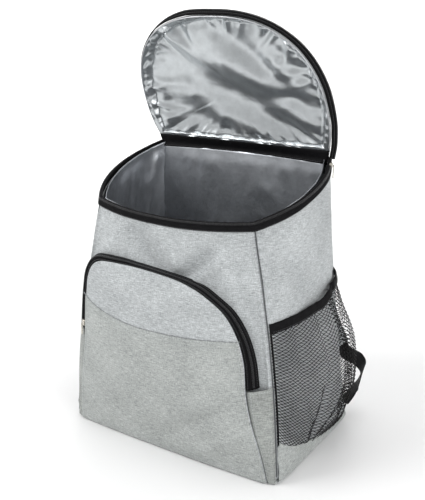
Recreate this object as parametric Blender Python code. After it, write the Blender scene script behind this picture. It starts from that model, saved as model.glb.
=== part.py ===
"""Cooler backpack standing open, with its lid raised: padded cloth body, foil liner, arched lid,
front pocket with an arched zip, two net side pockets and two shoulder straps.
The origin is the middle of the base on the surface it stands on, +X to the bag's right as seen
from the front, +Y towards the wearer's back, +Z up. Lengths are in metres."""

import math

import bpy
import bmesh
from mathutils import Vector
from mathutils.bvhtree import BVHTree

# Body sizes
BASE_WIDTH = 0.326
BASE_DEPTH = 0.206
MOUTH_WIDTH = 0.232
MOUTH_FRONT_HEIGHT = 0.309
MOUTH_FRONT_REACH = 0.088
HINGE_WIDTH = 0.262
HINGE_HEIGHT = 0.368
HINGE_REACH = 0.0755
FRONT_BOW = 0.019
SIDE_BOW = 0.026
BACK_BOW = 0.006
BASE_BOW = 0.004
CORNER_INSET = 0.003
BASE_SQUARENESS = 7.0
MOUTH_SQUARENESS = 2.2
FRONT_BELLY = 0.006
SIDE_BELLY = 0.004
DENT_DEPTH = 0.0042
DENT_FRONT_SPAN = 0.277
DENT_SIDE_SPAN = 0.196

# Cloth sizes
WALL = 0.006
LINER = 0.0012
CLOTH = 0.002
BASE_PLATE = 0.005
BASE_EDGE = 0.0025
GAP = 0.0003
SEAM_GAP = 0.0003
LINER_GAP = 0.0011
POCKET_GAP = 0.0008
SLIP_GAP = 0.0022

# Zip sizes
TAPE_HEIGHT = 0.0075
TAPE_THICKNESS = 0.0018
TAPE_INSET = 0.0008
MOUTH_TAPE_LIFT = 0.0008
MOUTH_TAPE_END = 0.015
LINER_RISE = 0.005
LINER_MIDDLE = 0.6
PIPING_RADIUS = 0.0015
PIPING_LIFT = 0.0008
PIPING_START = 0.024
PIPING_SIDES = 5
SLIDER_LENGTH = 0.009
SLIDER_WIDTH = 0.007
SLIDER_HEIGHT = 0.004
PULL_LENGTH = 0.017
PULL_WIDTH = 0.0042
PULL_THICKNESS = 0.0014
PULL_EYE = 0.42
PULL_EYE_RISE = 0.2
SLIDER_SHARE = 0.3
MAIN_SLIDER_PLACE = 1.90

# Lid sizes
LID_LEAN = math.radians(24.0)
LID_LENGTH = 0.197
LID_HALF_WIDTH = 0.141
LID_HINGE_HALF = 0.129
LID_WIDEST = 0.062
LID_SQUARENESS = 2.42
LID_LEG = 0.18
LID_CENTRE = 0.09
LID_RISE = 0.11
LID_RIM = 0.014
LID_RIM_LOW = 0.0049
LID_CROWN = 0.010
LID_WALL = 0.0035
LINING_GAP = 0.0007
LID_TAPE_START = 0.003
LID_TAPE_WIDTH = 0.0070
LID_TAPE_TURN = math.radians(58.0)
HINGE_STRIP = 0.016
HINGE_THICKNESS = 0.0028
HINGE_STEPS = 12

# Front pocket sizes
POCKET_HALF_WIDTH = 0.126
POCKET_TOP = 0.252
POCKET_DEPTH = 0.015
POCKET_CROWN = 0.010
POCKET_CENTRE = 0.121
POCKET_FLARE_LEFT = 0.020
POCKET_FLARE_RIGHT = 0.009
BAND_SWELL = 0.25
GUSSET_FOOT = 0.985
ZIP_END_LEFT = 0.142
ZIP_END_RIGHT = 0.124
SLIP_HEIGHT = 0.178
SLIP_RISE = 0.027
SLIP_SIZE = 0.995

# Side pocket sizes
NET_HEIGHT = 0.196
NET_BULGE = 0.031
NET_SKIN = 0.0012
NET_SEAM_FRONT = 0.055
NET_SEAM_BACK = 0.010
BINDING_HEIGHT = 0.0085
BINDING_THICKNESS = 0.0022
BINDING_LEAN = 0.001
SKIRT_THICKNESS = 0.0016
SKIRT_FOOT = 0.007
NET_CLEARANCE = 0.0005
NET_INSET = 0.012

# Strap sizes
STRAP_WIDTH = 0.060
STRAP_THICKNESS = 0.011
STRAP_ROUNDING = 0.35
STRAP_ROOT_HEIGHT = 0.9
WEBBING_WIDTH = 0.025
WEBBING_THICKNESS = 0.0016
WEBBING_ANCHOR = 0.022
WEBBING_LEAD = 0.012
WEBBING_GAP = 0.0006

# Small step round the panels for finding directions
PLACE_STEP = 0.02

# Grid counts
FRONT_COLUMNS = 20
SIDE_COLUMNS = 10
BACK_COLUMNS = 8
BODY_ROWS = 12
LINER_STRIDE = 2
MOUTH_TAPE_STEPS = 46
LID_SIDES = 38
LID_BOTTOM = 6
LID_TRIM_STEPS = 36
POCKET_SIDES = 42
POCKET_BOTTOM = 8
POCKET_ZIP_STEPS = 36
GUSSET_STEPS = 8
STRAP_STEPS = 18
PULL_STEPS = 4
WEBBING_STEPS = 32
NET_COLUMNS = 11
NET_ROWS = 8
SKIRT_ROWS = 2
POCKET_RINGS = (0.25, 0.5, 0.72, 0.9, 1.0)
SLIP_RINGS = (0.3, 0.6, 0.84, 1.0)

# How far the seams have closed in from base to mouth, as shares of height and of the whole taper
FRONT_SEAM = ((0.0, 0.0), (0.2, 0.09), (0.36, 0.20), (0.6, 0.44), (0.78, 0.69), (0.92, 0.89), (1.0, 1.0))
BACK_SEAM = ((0.0, 0.0), (0.2, 0.24), (0.4, 0.48), (0.6, 0.71), (0.8, 0.9), (1.0, 1.0))
# How the panels' bow grows from base to mouth, as shares of height and of the bow at the mouth
BOW_CURVE = ((0.0, 0.0), (0.3, 0.08), (0.6, 0.3), (0.8, 0.6), (1.0, 1.0))

# Dents and swells of the cloth. Columns: place round the panels (0 to 1 is the front, 1 to 2 the
# right side, 2 to 3 the back, 3 to 4 the left side), height share, long and short radius as
# shares of the base width, angle from level in degrees, inward depth as a share of DENT_DEPTH
DENTS = (
    (0.69, 0.85, 0.17, 0.085, 40.0, 1.0),
    (0.88, 0.78, 0.12, 0.090, 30.0, -1.0),
    (0.37, 0.89, 0.16, 0.080, -38.0, 0.7),
    (0.19, 0.84, 0.10, 0.090, 0.0, -0.8),
    (1.45, 0.70, 0.20, 0.100, 12.0, 0.6),
    (3.55, 0.70, 0.20, 0.100, -12.0, 0.6),
)

# Face of the front pocket, from its bottom left corner over the arch to its bottom right corner,
# as shares of POCKET_HALF_WIDTH and POCKET_TOP
POCKET_OUTLINE = (
    (-1.19, 0.03), (-1.12, 0.20), (-1.05, 0.36), (-0.98, 0.55), (-0.96, 0.78), (-0.945, 0.87),
    (-0.885, 0.938), (-0.77, 0.977), (-0.58, 0.992), (-0.28, 0.996), (0.06, 0.985), (0.35, 0.963),
    (0.56, 0.928), (0.76, 0.86), (0.90, 0.755), (0.975, 0.63), (1.0, 0.48), (1.04, 0.36),
    (1.11, 0.20), (1.19, 0.03),
)
# How far the pocket's rim stands off the body, as shares of POCKET_TOP and POCKET_DEPTH
POCKET_STANDOFF = (
    (0.0, 0.12), (0.1, 0.35), (0.22, 0.68), (0.36, 0.92), (0.5, 1.0), (0.85, 1.0), (1.0, 0.9),
)
# Half width of the face, as shares of POCKET_TOP and POCKET_HALF_WIDTH
POCKET_SIDE = ((0.0, 1.2), (0.2, 1.12), (0.36, 1.05), (0.5, 1.01), (0.78, 1.0), (1.0, 1.0))
# Mouth of the slip pocket, as shares of POCKET_HALF_WIDTH and SLIP_RISE
SLIP_CURVE = (
    (-1.05, 0.81), (-0.8, 0.44), (-0.55, 0.18), (-0.3, 0.035), (0.0, 0.0), (0.5, 0.09), (1.0, 0.35),
)
# How far the zip's foot lies outside the face on each side, as shares of POCKET_TOP and the flare
SPREAD_LEFT = ((0.0, 0.1), (0.2, 0.5), (0.45, 1.0), (0.85, 0.9), (0.96, 0.45), (1.0, 0.15))
SPREAD_RIGHT = ((0.0, 0.1), (0.2, 0.6), (0.45, 1.0), (0.65, 0.65), (0.9, 0.3), (1.0, 0.46))

# The lid's cup from its middle to its rim, as shares of its outline and of LID_RIM. The lining
# ends below the rim
LID_PROFILE = ((0.15, 1.0), (0.5, 1.0), (0.82, 1.0), (0.93, 0.93), (0.975, 0.6), (1.0, 0.0))
LINING_PROFILE = ((0.15, 1.0), (0.5, 1.0), (0.82, 1.0), (0.93, 0.93), (0.975, 0.6), (0.992, 0.22))

# A zip slider from its foot to its top, as shares of its length, width and height
SLIDER_PROFILE = ((-0.5, 0.7, 0.55), (-0.35, 0.85, 0.9), (0.0, 0.9, 1.0), (0.3, 1.0, 1.0), (0.5, 0.9, 0.7))

# Mouth of the net pockets, as shares of the side's depth from front to back and of NET_HEIGHT
NET_MOUTH = (
    (0.0, 1.034), (0.11, 1.045), (0.255, 1.05), (0.405, 1.06), (0.55, 1.07), (0.64, 1.095), (0.75, 1.12),
    (0.88, 1.138), (1.0, 1.15),
)
# Bottom seam of the net, as shares of the side's depth and of the drop from its front to its back
NET_SEAM = ((0.0, 0.0), (0.1, 0.28), (0.2, 0.48), (0.4, 0.74), (0.6, 0.9), (0.8, 0.98), (1.0, 1.0))
# How far the net stands off the side, from front to back and from its seam to its mouth,
# as shares of NET_BULGE
NET_BULGE_ACROSS = (
    (0.0, 0.0), (0.15, 0.2), (0.35, 0.52), (0.55, 0.86), (0.7, 1.0), (0.85, 0.9), (0.95, 0.5), (1.0, 0.0),
)
NET_BULGE_UP = ((0.0, 0.03), (0.12, 0.42), (0.3, 0.85), (0.5, 1.0), (0.7, 0.88), (0.88, 0.56), (1.0, 0.34))

# Middle of the right shoulder strap from the top of the back to its tip, as shares of BASE_WIDTH,
# BASE_DEPTH behind the back panel and HINGE_HEIGHT
STRAP_PATH = (
    (0.14, 0.01, 0.86), (0.14, 0.035, 0.92), (0.145, 0.13, 0.965), (0.16, 0.25, 0.91),
    (0.185, 0.29, 0.76), (0.215, 0.27, 0.60), (0.27, 0.24, 0.45), (0.345, 0.21, 0.325), (0.425, 0.19, 0.258),
)
# Width along the strap, as shares of its length and of STRAP_WIDTH
STRAP_TAPER = ((0.0, 0.8), (0.15, 0.95), (0.4, 1.0), (0.75, 0.95), (0.9, 0.7), (1.0, 0.45))
# Middle of the right webbing between the strap's tip and the low back corner, as shares of
# BASE_WIDTH, BASE_DEPTH and HINGE_HEIGHT
WEBBING_PATH = ((0.515, 0.57, 0.23), (0.544, 0.568, 0.2), (0.526, 0.58, 0.135), (0.509, 0.552, 0.10))

# Direction of the strap's and the webbing's width at both their ends, on the right side, and how
# far the webbing has twisted along its length
STRAP_AXIS_ROOT = (1.0, 0.0, 0.0)
STRAP_AXIS_TIP = (0.75, 0.1, 0.75)
WEBBING_AXIS_TOP = (0.16, 0.96, 0.23)
WEBBING_AXIS_FOOT = (-0.27, 0.91, 0.33)
WEBBING_TWIST = ((0.0, 0.0), (0.15, 0.1), (0.375, 0.5), (0.6, 0.9), (0.75, 1.0), (1.0, 1.0))

COLOURS = {
    "heather": ((0.50, 0.53, 0.53, 1.0), 0.9, 0.0),
    "foil": ((0.72, 0.74, 0.76, 1.0), 0.25, 0.9),
    "black": ((0.014, 0.014, 0.017, 1.0), 0.7, 0.0),
    "net": ((0.03, 0.03, 0.032, 1.0), 0.8, 0.0),
    "metal": ((0.75, 0.73, 0.68, 1.0), 0.2, 1.0),
}


def clear_scene():
    for thing in list(bpy.data.objects):
        bpy.data.objects.remove(thing, do_unlink=True)


def material(name):
    found = bpy.data.materials.get(name)
    if found:
        return found
    colour, roughness, metallic = COLOURS[name]
    made = bpy.data.materials.new(name)
    made.use_nodes = True
    shader = made.node_tree.nodes["Principled BSDF"]
    shader.inputs["Base Color"].default_value = colour
    shader.inputs["Roughness"].default_value = roughness
    shader.inputs["Metallic"].default_value = metallic
    return made


def build(name, points, faces, finish):
    """One closed object from points and faces, with its faces turned outward."""
    mesh = bpy.data.meshes.new(name)
    mesh.from_pydata([tuple(point) for point in points], [], faces)
    work = bmesh.new()
    work.from_mesh(mesh)
    bmesh.ops.recalc_face_normals(work, faces=work.faces)
    work.to_mesh(mesh)
    work.free()
    mesh.shade_smooth()
    mesh.set_sharp_from_angle(angle=math.radians(40.0))
    mesh.materials.append(material(finish))
    thing = bpy.data.objects.new(name, mesh)
    bpy.context.collection.objects.link(thing)
    return thing


def curve_value(table, place):
    """Smooth value of a two-column table at a place, flat beyond its ends."""
    if place <= table[0][0]:
        return table[0][1]
    if place >= table[-1][0]:
        return table[-1][1]
    row = 0
    while table[row + 1][0] < place:
        row += 1
    x0, y0 = table[row]
    x1, y1 = table[row + 1]
    before = table[row - 1] if row > 0 else table[row]
    after = table[row + 2] if row + 2 < len(table) else table[row + 1]
    slope0 = (y1 - before[1]) / (x1 - before[0])
    slope1 = (after[1] - y0) / (after[0] - x0)
    span = x1 - x0
    s = (place - x0) / span
    return ((2 * s ** 3 - 3 * s ** 2 + 1) * y0 + (s ** 3 - 2 * s ** 2 + s) * span * slope0
            + (3 * s ** 2 - 2 * s ** 3) * y1 + (s ** 3 - s ** 2) * span * slope1)


def smooth_path(points, count):
    """Evenly numbered points on a Catmull-Rom curve through the given points."""
    ends = [points[0] * 2 - points[1]] + list(points) + [points[-1] * 2 - points[-2]]
    spans = len(points) - 1
    path = []
    for step in range(count + 1):
        place = step * spans / count
        row = min(int(place), spans - 1)
        s = place - row
        a, b, c, d = ends[row:row + 4]
        path.append(0.5 * ((2 * b) + (c - a) * s + (2 * a - 5 * b + 4 * c - d) * s * s
                           + (3 * b - a - 3 * c + d) * s ** 3))
    return path


def even_path(points, count):
    """Points spaced evenly by length along a smooth curve through the given points."""
    fine = smooth_path(points, count * 8)
    lengths = [0.0]
    for a, b in zip(fine, fine[1:]):
        lengths.append(lengths[-1] + (b - a).length)
    path = []
    row = 0
    for step in range(count + 1):
        wanted = lengths[-1] * step / count
        while row < len(fine) - 2 and lengths[row + 1] < wanted:
            row += 1
        share = (wanted - lengths[row]) / (lengths[row + 1] - lengths[row])
        path.append(fine[row].lerp(fine[row + 1], min(max(share, 0.0), 1.0)))
    return path


def grid_faces(rows, columns, start, closed):
    """Triangles between rows of points numbered from start."""
    faces = []
    spans = columns if closed else columns - 1
    for row in range(rows - 1):
        for column in range(spans):
            a = start + row * columns + column
            b = start + row * columns + (column + 1) % columns
            faces.append((a, b, b + columns))
            faces.append((a, b + columns, a + columns))
    return faces


def sheet_shell(name, outer, inner, finish):
    """Closed body between two open grids of the same size."""
    rows, columns = len(outer), len(outer[0])
    count = rows * columns
    points = [point for row in outer for point in row] + [point for row in inner for point in row]
    faces = grid_faces(rows, columns, 0, False) + grid_faces(rows, columns, count, False)
    edge = [column for column in range(columns)]
    edge += [row * columns + columns - 1 for row in range(1, rows)]
    edge += [(rows - 1) * columns + column for column in range(columns - 2, -1, -1)]
    edge += [row * columns for row in range(rows - 2, 0, -1)]
    for a, b in zip(edge, edge[1:] + edge[:1]):
        faces.append((a, b, b + count, a + count))
    return build(name, points, faces, finish)


def cup_shell(name, outer, inner, finish):
    """Closed body between two nested cups, each a list of closed rings from its middle to its rim."""
    rows, columns = len(outer), len(outer[0])
    count = rows * columns
    points = [point for row in outer for point in row] + [point for row in inner for point in row]
    faces = grid_faces(rows, columns, 0, True) + grid_faces(rows, columns, count, True)
    faces.append(tuple(range(columns)))
    faces.append(tuple(range(count, count + columns)))
    last = (rows - 1) * columns
    for column in range(columns):
        a = last + column
        b = last + (column + 1) % columns
        faces.append((a, b, b + count, a + count))
    return build(name, points, faces, finish)


def sweep(name, sections, finish):
    """Closed body through a list of sections, each a ring of the same number of points."""
    columns = len(sections[0])
    points = [point for section in sections for point in section]
    faces = grid_faces(len(sections), columns, 0, True)
    faces.append(tuple(range(columns)))
    faces.append(tuple(range(len(points) - columns, len(points))))
    return build(name, points, faces, finish)


def offset_grid(grid, depth, closed):
    """The grid moved by depth against its normals, which point away from +row x +column."""
    rows, columns = len(grid), len(grid[0])
    moved = []
    for row in range(rows):
        line = []
        for column in range(columns):
            low = grid[max(row - 1, 0)][column]
            high = grid[min(row + 1, rows - 1)][column]
            if closed:
                left = grid[row][(column - 1) % columns]
                right = grid[row][(column + 1) % columns]
            else:
                left = grid[row][max(column - 1, 0)]
                right = grid[row][min(column + 1, columns - 1)]
            normal = (right - left).cross(high - low).normalized()
            line.append(grid[row][column] - normal * depth)
        moved.append(line)
    return moved


# Body

def rim_height(y):
    """Height of the mouth's slanted plane at a depth y."""
    front = -MOUTH_FRONT_REACH - FRONT_BOW
    slope = (HINGE_HEIGHT - MOUTH_FRONT_HEIGHT) / (HINGE_REACH - front)
    return HINGE_HEIGHT - (HINGE_REACH - y) * slope


def base_corner(number):
    x = BASE_WIDTH / 2 - CORNER_INSET
    y = BASE_DEPTH / 2 - CORNER_INSET
    return Vector([(-x, -y, 0), (x, -y, 0), (x, y, 0), (-x, y, 0)][number % 4])


def mouth_corner(number):
    front = MOUTH_WIDTH / 2
    back = HINGE_WIDTH / 2
    return Vector([(-front, -MOUTH_FRONT_REACH, 0), (front, -MOUTH_FRONT_REACH, 0),
                   (back, HINGE_REACH, 0), (-back, HINGE_REACH, 0)][number % 4])


def seam_point(number, height):
    curve = BACK_SEAM if number % 4 in (2, 3) else FRONT_SEAM
    return base_corner(number).lerp(mouth_corner(number), curve_value(curve, min(height, 1.0)))


def panel_bow(panel, height, share):
    """How far a panel stands outside the straight line between its seams."""
    at_mouth = (FRONT_BOW, SIDE_BOW, BACK_BOW, SIDE_BOW)[panel]
    belly = (FRONT_BELLY, SIDE_BELLY, 0.0, SIDE_BELLY)[panel]
    growth = curve_value(BOW_CURVE, height)
    square = BASE_SQUARENESS + (MOUTH_SQUARENESS - BASE_SQUARENESS) * growth
    across = abs(2 * share - 1)
    bow = (BASE_BOW + (at_mouth - BASE_BOW) * growth) * (1 - across ** square)
    return bow + belly * math.sin(math.pi * height) * (1 - across ** 2)


def dent(place, height):
    """Inward depth of all the dents at a place on the body."""
    depth = 0.0
    for centre, level, long_share, short_share, angle, share in DENTS:
        turn = (place - centre + 2) % 4 - 2
        along = turn * (DENT_FRONT_SPAN if int(centre) in (0, 2) else DENT_SIDE_SPAN)
        up = (height - level) * HINGE_HEIGHT
        lean = math.radians(angle)
        a = (along * math.cos(lean) + up * math.sin(lean)) / (long_share * BASE_WIDTH)
        b = (up * math.cos(lean) - along * math.sin(lean)) / (short_share * BASE_WIDTH)
        depth += share * DENT_DEPTH * math.exp(-2.0 * (a * a + b * b))
    return depth


def body_point(place, height, dented=True):
    """Point on the body's outer cloth. Place runs round the four panels from the front left seam,
    height is a share of the way from the base to the mouth."""
    place = place % 4
    panel = int(place)
    share = place - panel
    start = seam_point(panel, height)
    end = seam_point(panel + 1, height)
    out = (end - start).cross(Vector((0, 0, 1))).normalized()
    inward = dent(place, height) if dented else 0.0
    flat = start.lerp(end, share) + out * (panel_bow(panel, height, share) - inward)
    top_start = mouth_corner(panel)
    top_end = mouth_corner(panel + 1)
    top_out = (top_end - top_start).cross(Vector((0, 0, 1))).normalized()
    top = top_start.lerp(top_end, share) + top_out * panel_bow(panel, 1.0, share)
    floor = BASE_PLATE + GAP
    flat.z = floor + (rim_height(top.y) - floor) * height
    return flat


def outward(place, height):
    """Horizontal direction out of the body at a place."""
    along = body_point(place + PLACE_STEP, height) - body_point(place - PLACE_STEP, height)
    along.z = 0.0
    return along.cross(Vector((0, 0, 1))).normalized()


def on_body(place, height, stand):
    """Point that stands off the body's cloth by a given distance."""
    return body_point(place, height) + outward(place, height) * stand


def height_share(place, z):
    """Height share at which the body's cloth reaches z at a place."""
    top = body_point(place, 1.0).z
    floor = BASE_PLATE + GAP
    return (z - floor) / (top - floor)


def surface_depth(tree, x, z):
    """Depth y of the first face that a line from the front meets at x and z."""
    hit = tree.ray_cast(Vector((x, -1.0, z)), Vector((0, 1, 0)))
    if hit[0]:
        return hit[0].y
    place, height = front_place(x, z)
    return body_point(place, height).y


def front_surface(x, z):
    return surface_depth(FRONT, x, z)


def front_place(x, z):
    """Place and height share of the front panel at x and z."""
    place = 0.5
    height = 0.5
    for _ in range(6):
        height = height_share(place, z)
        half = abs(body_point(0.0, height).x)
        place = min(max(0.5 + 0.5 * x / half, 0.0), 1.0)
    return place, height


def column_places():
    places = []
    for panel, count in enumerate((FRONT_COLUMNS, SIDE_COLUMNS, BACK_COLUMNS, SIDE_COLUMNS)):
        places += [panel + column / count for column in range(count)]
    return places


def body_rings(rows, places, dented):
    return [[body_point(place, row / rows, dented) for place in places] for row in range(rows + 1)]


def panel_grid(rings, start, count):
    """One panel's columns of the body's rings, drawn back from the seams at its two sides."""
    chosen = [(start + column) % len(rings[0]) for column in range(count + 1)]
    grid = [[ring[column].copy() for column in chosen] for ring in rings]
    for line in grid:
        first = (line[1] - line[0]).normalized() * (SEAM_GAP / 2)
        last = (line[-2] - line[-1]).normalized() * (SEAM_GAP / 2)
        line[0] += first
        line[-1] += last
    return grid


def front_tree():
    """The front panel's outer faces, for pieces that are sewn onto it."""
    grid = panel_grid(body_rings(BODY_ROWS, column_places(), True), 0, FRONT_COLUMNS)
    points = [point for line in grid for point in line]
    return BVHTree.FromPolygons(points, grid_faces(len(grid), len(grid[0]), 0, False))


def inner_rings(rings, depth):
    """The rings moved into the body by depth, at the same heights."""
    moved = offset_grid(rings, depth, True)
    for ring, source in zip(moved, rings):
        for point, wall in zip(ring, source):
            point.z = wall.z
    return moved


def make_body():
    places = column_places()
    outer = body_rings(BODY_ROWS, places, True)
    inner = inner_rings(body_rings(BODY_ROWS, places, False), WALL)
    names = ("front_panel", "side_panel_right", "back_panel", "side_panel_left")
    counts = (FRONT_COLUMNS, SIDE_COLUMNS, BACK_COLUMNS, SIDE_COLUMNS)
    start = 0
    for name, count in zip(names, counts):
        sheet_shell(name, panel_grid(outer, start, count), panel_grid(inner, start, count), "heather")
        start += count


def make_base():
    """Stiffened bottom, a plate with a rolled edge under the walls."""
    places = column_places()
    edge = [body_point(place, 0.0) for place in places]
    sides = [outward(place, 0.0) for place in places]
    rings = []
    for inset, z in ((BASE_EDGE, 0.0), (BASE_EDGE * 0.3, BASE_EDGE * 0.3), (0.0, BASE_EDGE),
                     (0.0, BASE_PLATE)):
        ring = []
        for point, side in zip(edge, sides):
            moved = point - side * inset
            moved.z = z
            ring.append(moved)
        rings.append(ring)
    sweep("base_panel", rings, "heather")


def mouth_up(place):
    """Direction in which the wall leaves its top edge."""
    return (body_point(place, 1.0) - body_point(place, 0.97)).normalized()


def make_liner():
    """Foil cup inside the walls. Its rim rises inside the zip tape at the front and sides."""
    places = column_places()
    rings = body_rings(BODY_ROWS, places, False)
    cups = []
    for inset in (0.0, LINER):
        cup = inner_rings(rings, WALL + LINER_GAP + inset)[::LINER_STRIDE]
        cup = [ring[::LINER_STRIDE] for ring in cup]
        floor = BASE_PLATE + 2 * GAP + inset
        lowest = [Vector((point.x, point.y, floor)) for point in cup[0]]
        middle = [Vector((point.x * LINER_MIDDLE, point.y * LINER_MIDDLE, floor)) for point in cup[0]]
        rim = []
        for place, point in zip(places[::LINER_STRIDE], cup[-1]):
            rise = 0.0 if 2.0 <= place <= 3.0 else LINER_RISE
            rim.append(point + mouth_up(place) * rise)
        cups.append([middle, lowest] + cup[1:] + [rim])
    cup_shell("liner", cups[0], cups[1], "foil")


def make_mouth_tape():
    """Zip tape that stands on the front and side walls, with a bead for the teeth at its top."""
    sections = []
    for step in range(MOUTH_TAPE_STEPS + 1):
        place = 2.0 - MOUTH_TAPE_END - (3.0 - 2 * MOUTH_TAPE_END) * step / MOUTH_TAPE_STEPS
        foot = body_point(place, 1.0)
        up = mouth_up(place)
        side = outward(place, 1.0)
        ring = []
        for inset, rise in ((TAPE_INSET, MOUTH_TAPE_LIFT), (TAPE_INSET, TAPE_HEIGHT * 0.7),
                            (TAPE_INSET * 0.3, TAPE_HEIGHT * 0.8), (TAPE_INSET * 0.3, TAPE_HEIGHT),
                            (TAPE_INSET + TAPE_THICKNESS, TAPE_HEIGHT),
                            (TAPE_INSET + TAPE_THICKNESS, MOUTH_TAPE_LIFT)):
            ring.append(foot - side * inset + up * rise)
        sections.append(ring)
    sweep("mouth_zip", sections, "black")


# Lid

def lid_frame():
    """Origin of the lid's plane at the hinge, and its across, along and facing directions."""
    origin = Vector((0, HINGE_REACH, HINGE_HEIGHT + GAP))
    across = Vector((1, 0, 0))
    along = Vector((0, -math.sin(LID_LEAN), math.cos(LID_LEAN)))
    facing = Vector((0, -math.cos(LID_LEAN), -math.sin(LID_LEAN)))
    return origin, across, along, facing


def lid_place(x, v, n):
    origin, across, along, facing = lid_frame()
    return origin + across * x + along * v + facing * n


def lid_edge(turn, low):
    """Outline of the lid's rim as across and along lengths. Turn 0 to 1 runs from its right end,
    at the height low above the hinge, over the arch to its left end."""
    if turn < LID_LEG or turn > 1 - LID_LEG:
        share = turn / LID_LEG if turn < LID_LEG else (1 - turn) / LID_LEG
        v = low + (LID_WIDEST - low) * share
        half = LID_HINGE_HALF + (LID_HALF_WIDTH - LID_HINGE_HALF) * math.sin(v / LID_WIDEST * math.pi / 2)
        return (half if turn < LID_LEG else -half), v
    angle = math.pi * (turn - LID_LEG) / (1 - 2 * LID_LEG)
    power = 2.0 / LID_SQUARENESS
    x = LID_HALF_WIDTH * abs(math.cos(angle)) ** power * (1 if math.cos(angle) >= 0 else -1)
    v = LID_WIDEST + (LID_LENGTH - LID_WIDEST) * abs(math.sin(angle)) ** power
    return x, v


def lid_arch(count, low):
    """Evenly spaced points along the rim's arch, as across and along lengths."""
    fine = [Vector(lid_edge(step / 200, low)) for step in range(201)]
    return even_path(fine, count)


def arch_normals(points):
    """Outward directions of the arch in the lid's plane."""
    normals = []
    for index in range(len(points)):
        along = points[min(index + 1, len(points) - 1)] - points[max(index - 1, 0)]
        normals.append(Vector((along.y, -along.x)).normalized())
    return normals


def lid_rings(depth, profile):
    """Rings of the lid from its middle to its rim, moved by depth towards its facing side."""
    low = HINGE_STRIP + GAP
    arch = lid_arch(LID_SIDES - LID_BOTTOM, low)
    bottom = [arch[-1].lerp(arch[0], step / LID_BOTTOM) for step in range(1, LID_BOTTOM)]
    centre = Vector((0.0, LID_CENTRE))
    rings = []
    for share, rim in profile:
        ring = []
        for point in arch + bottom:
            spot = centre.lerp(point, share)
            rise = min(max((spot.y - low) / LID_RISE, 0.0), 1.0)
            side = LID_RIM_LOW + (LID_RIM - LID_RIM_LOW) * math.sin(rise * math.pi / 2)
            ring.append(lid_place(spot.x, spot.y, -side * rim - LID_CROWN * (1 - share ** 2)))
        rings.append(ring)
    moved = offset_grid(rings, depth, True)
    origin, _, _, facing = lid_frame()
    for index, point in enumerate(moved[-1]):
        over = (point - origin).dot(facing) - max(depth - LID_WALL, 0.0)
        if over > 0:
            moved[-1][index] = point - facing * over
    return moved


def make_lid():
    gap = LID_WALL + LINING_GAP
    cup_shell("lid_panel", lid_rings(0.0, LID_PROFILE), lid_rings(LID_WALL, LID_PROFILE), "heather")
    cup_shell("lid_lining", lid_rings(gap, LINING_PROFILE), lid_rings(gap + LINER, LINING_PROFILE), "foil")


def make_lid_tape():
    """Zip tape along the outside of the lid's rim, flared back from it."""
    arch = lid_arch(LID_TRIM_STEPS, LID_TAPE_START)
    reach = LID_TAPE_WIDTH * math.cos(LID_TAPE_TURN)
    drop = LID_TAPE_WIDTH * math.sin(LID_TAPE_TURN)
    thick_out = TAPE_THICKNESS * math.sin(LID_TAPE_TURN)
    thick_back = TAPE_THICKNESS * math.cos(LID_TAPE_TURN)
    sections = []
    for point, out in zip(arch, arch_normals(arch)):
        start = point + out * (GAP * 2)
        ring = []
        for far, back in ((0.0, 0.0), (thick_out, 0.0), (reach + thick_out, drop),
                          (reach, drop + thick_back), (0.0, thick_back * 2)):
            ring.append(lid_place(start.x + out.x * far, start.y + out.y * far, -back))
        sections.append(ring)
    sweep("lid_zip", sections, "black")


def make_lid_piping():
    """Foil piping along the front of the lid's rim."""
    arch = lid_arch(LID_TRIM_STEPS, PIPING_START)
    sections = []
    for point, out in zip(arch, arch_normals(arch)):
        middle = point - out * PIPING_RADIUS
        ring = []
        for side in range(PIPING_SIDES):
            angle = math.tau * side / PIPING_SIDES
            spread = PIPING_RADIUS * math.cos(angle)
            ring.append(lid_place(middle.x + out.x * spread, middle.y + out.y * spread,
                                  PIPING_RADIUS * (1 + math.sin(angle)) + PIPING_LIFT))
        sections.append(ring)
    sweep("lid_piping", sections, "foil")


def make_hinge():
    """Black cloth strip from the top of the back wall to the lower edge of the lid."""
    sections = []
    for step in range(HINGE_STEPS + 1):
        share = 2 * step / HINGE_STEPS - 1
        x = (LID_HINGE_HALF - 2 * GAP) * share
        y = HINGE_REACH + BACK_BOW * (1 - share ** 2)
        foot = Vector((x, y - BASE_EDGE, rim_height(y) + GAP))
        top = lid_place(x, HINGE_STRIP, 0.0)
        half = Vector((0, HINGE_THICKNESS / 2, 0))
        sections.append([foot + half, foot - half, top - half, top + half])
    sweep("lid_hinge", sections, "black")


# Front pocket

def pocket_outline(count):
    rows = [Vector((x * POCKET_HALF_WIDTH, z * POCKET_TOP)) for x, z in POCKET_OUTLINE]
    return even_path(rows, count)


def pocket_stand(z):
    return POCKET_DEPTH * curve_value(POCKET_STANDOFF, z / POCKET_TOP)


def pocket_point(x, z, stand):
    return Vector((x, front_surface(x, z) - stand, z))


def pocket_rim():
    """Whole edge of the pocket's face: the arch, then the bottom edge."""
    arch = pocket_outline(POCKET_SIDES - POCKET_BOTTOM)
    bottom = [arch[-1].lerp(arch[0], step / POCKET_BOTTOM) for step in range(1, POCKET_BOTTOM)]
    return arch + bottom


def pocket_share(x, z):
    """How far out a point of the face lies, 0 at its middle and 1 at its edge."""
    across = abs(x) / (POCKET_HALF_WIDTH * curve_value(POCKET_SIDE, z / POCKET_TOP))
    up = abs(z / POCKET_TOP - 0.5) / 0.5
    return min((across ** 4 + up ** 4) ** 0.25, 1.0)


def pocket_surface(x, z, extra):
    """Point of the pocket's face, in front of its inner side by extra."""
    crown = POCKET_CROWN * (1 - pocket_share(x, z) ** 2)
    return pocket_point(x, z, pocket_stand(z) + crown + extra)


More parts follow.
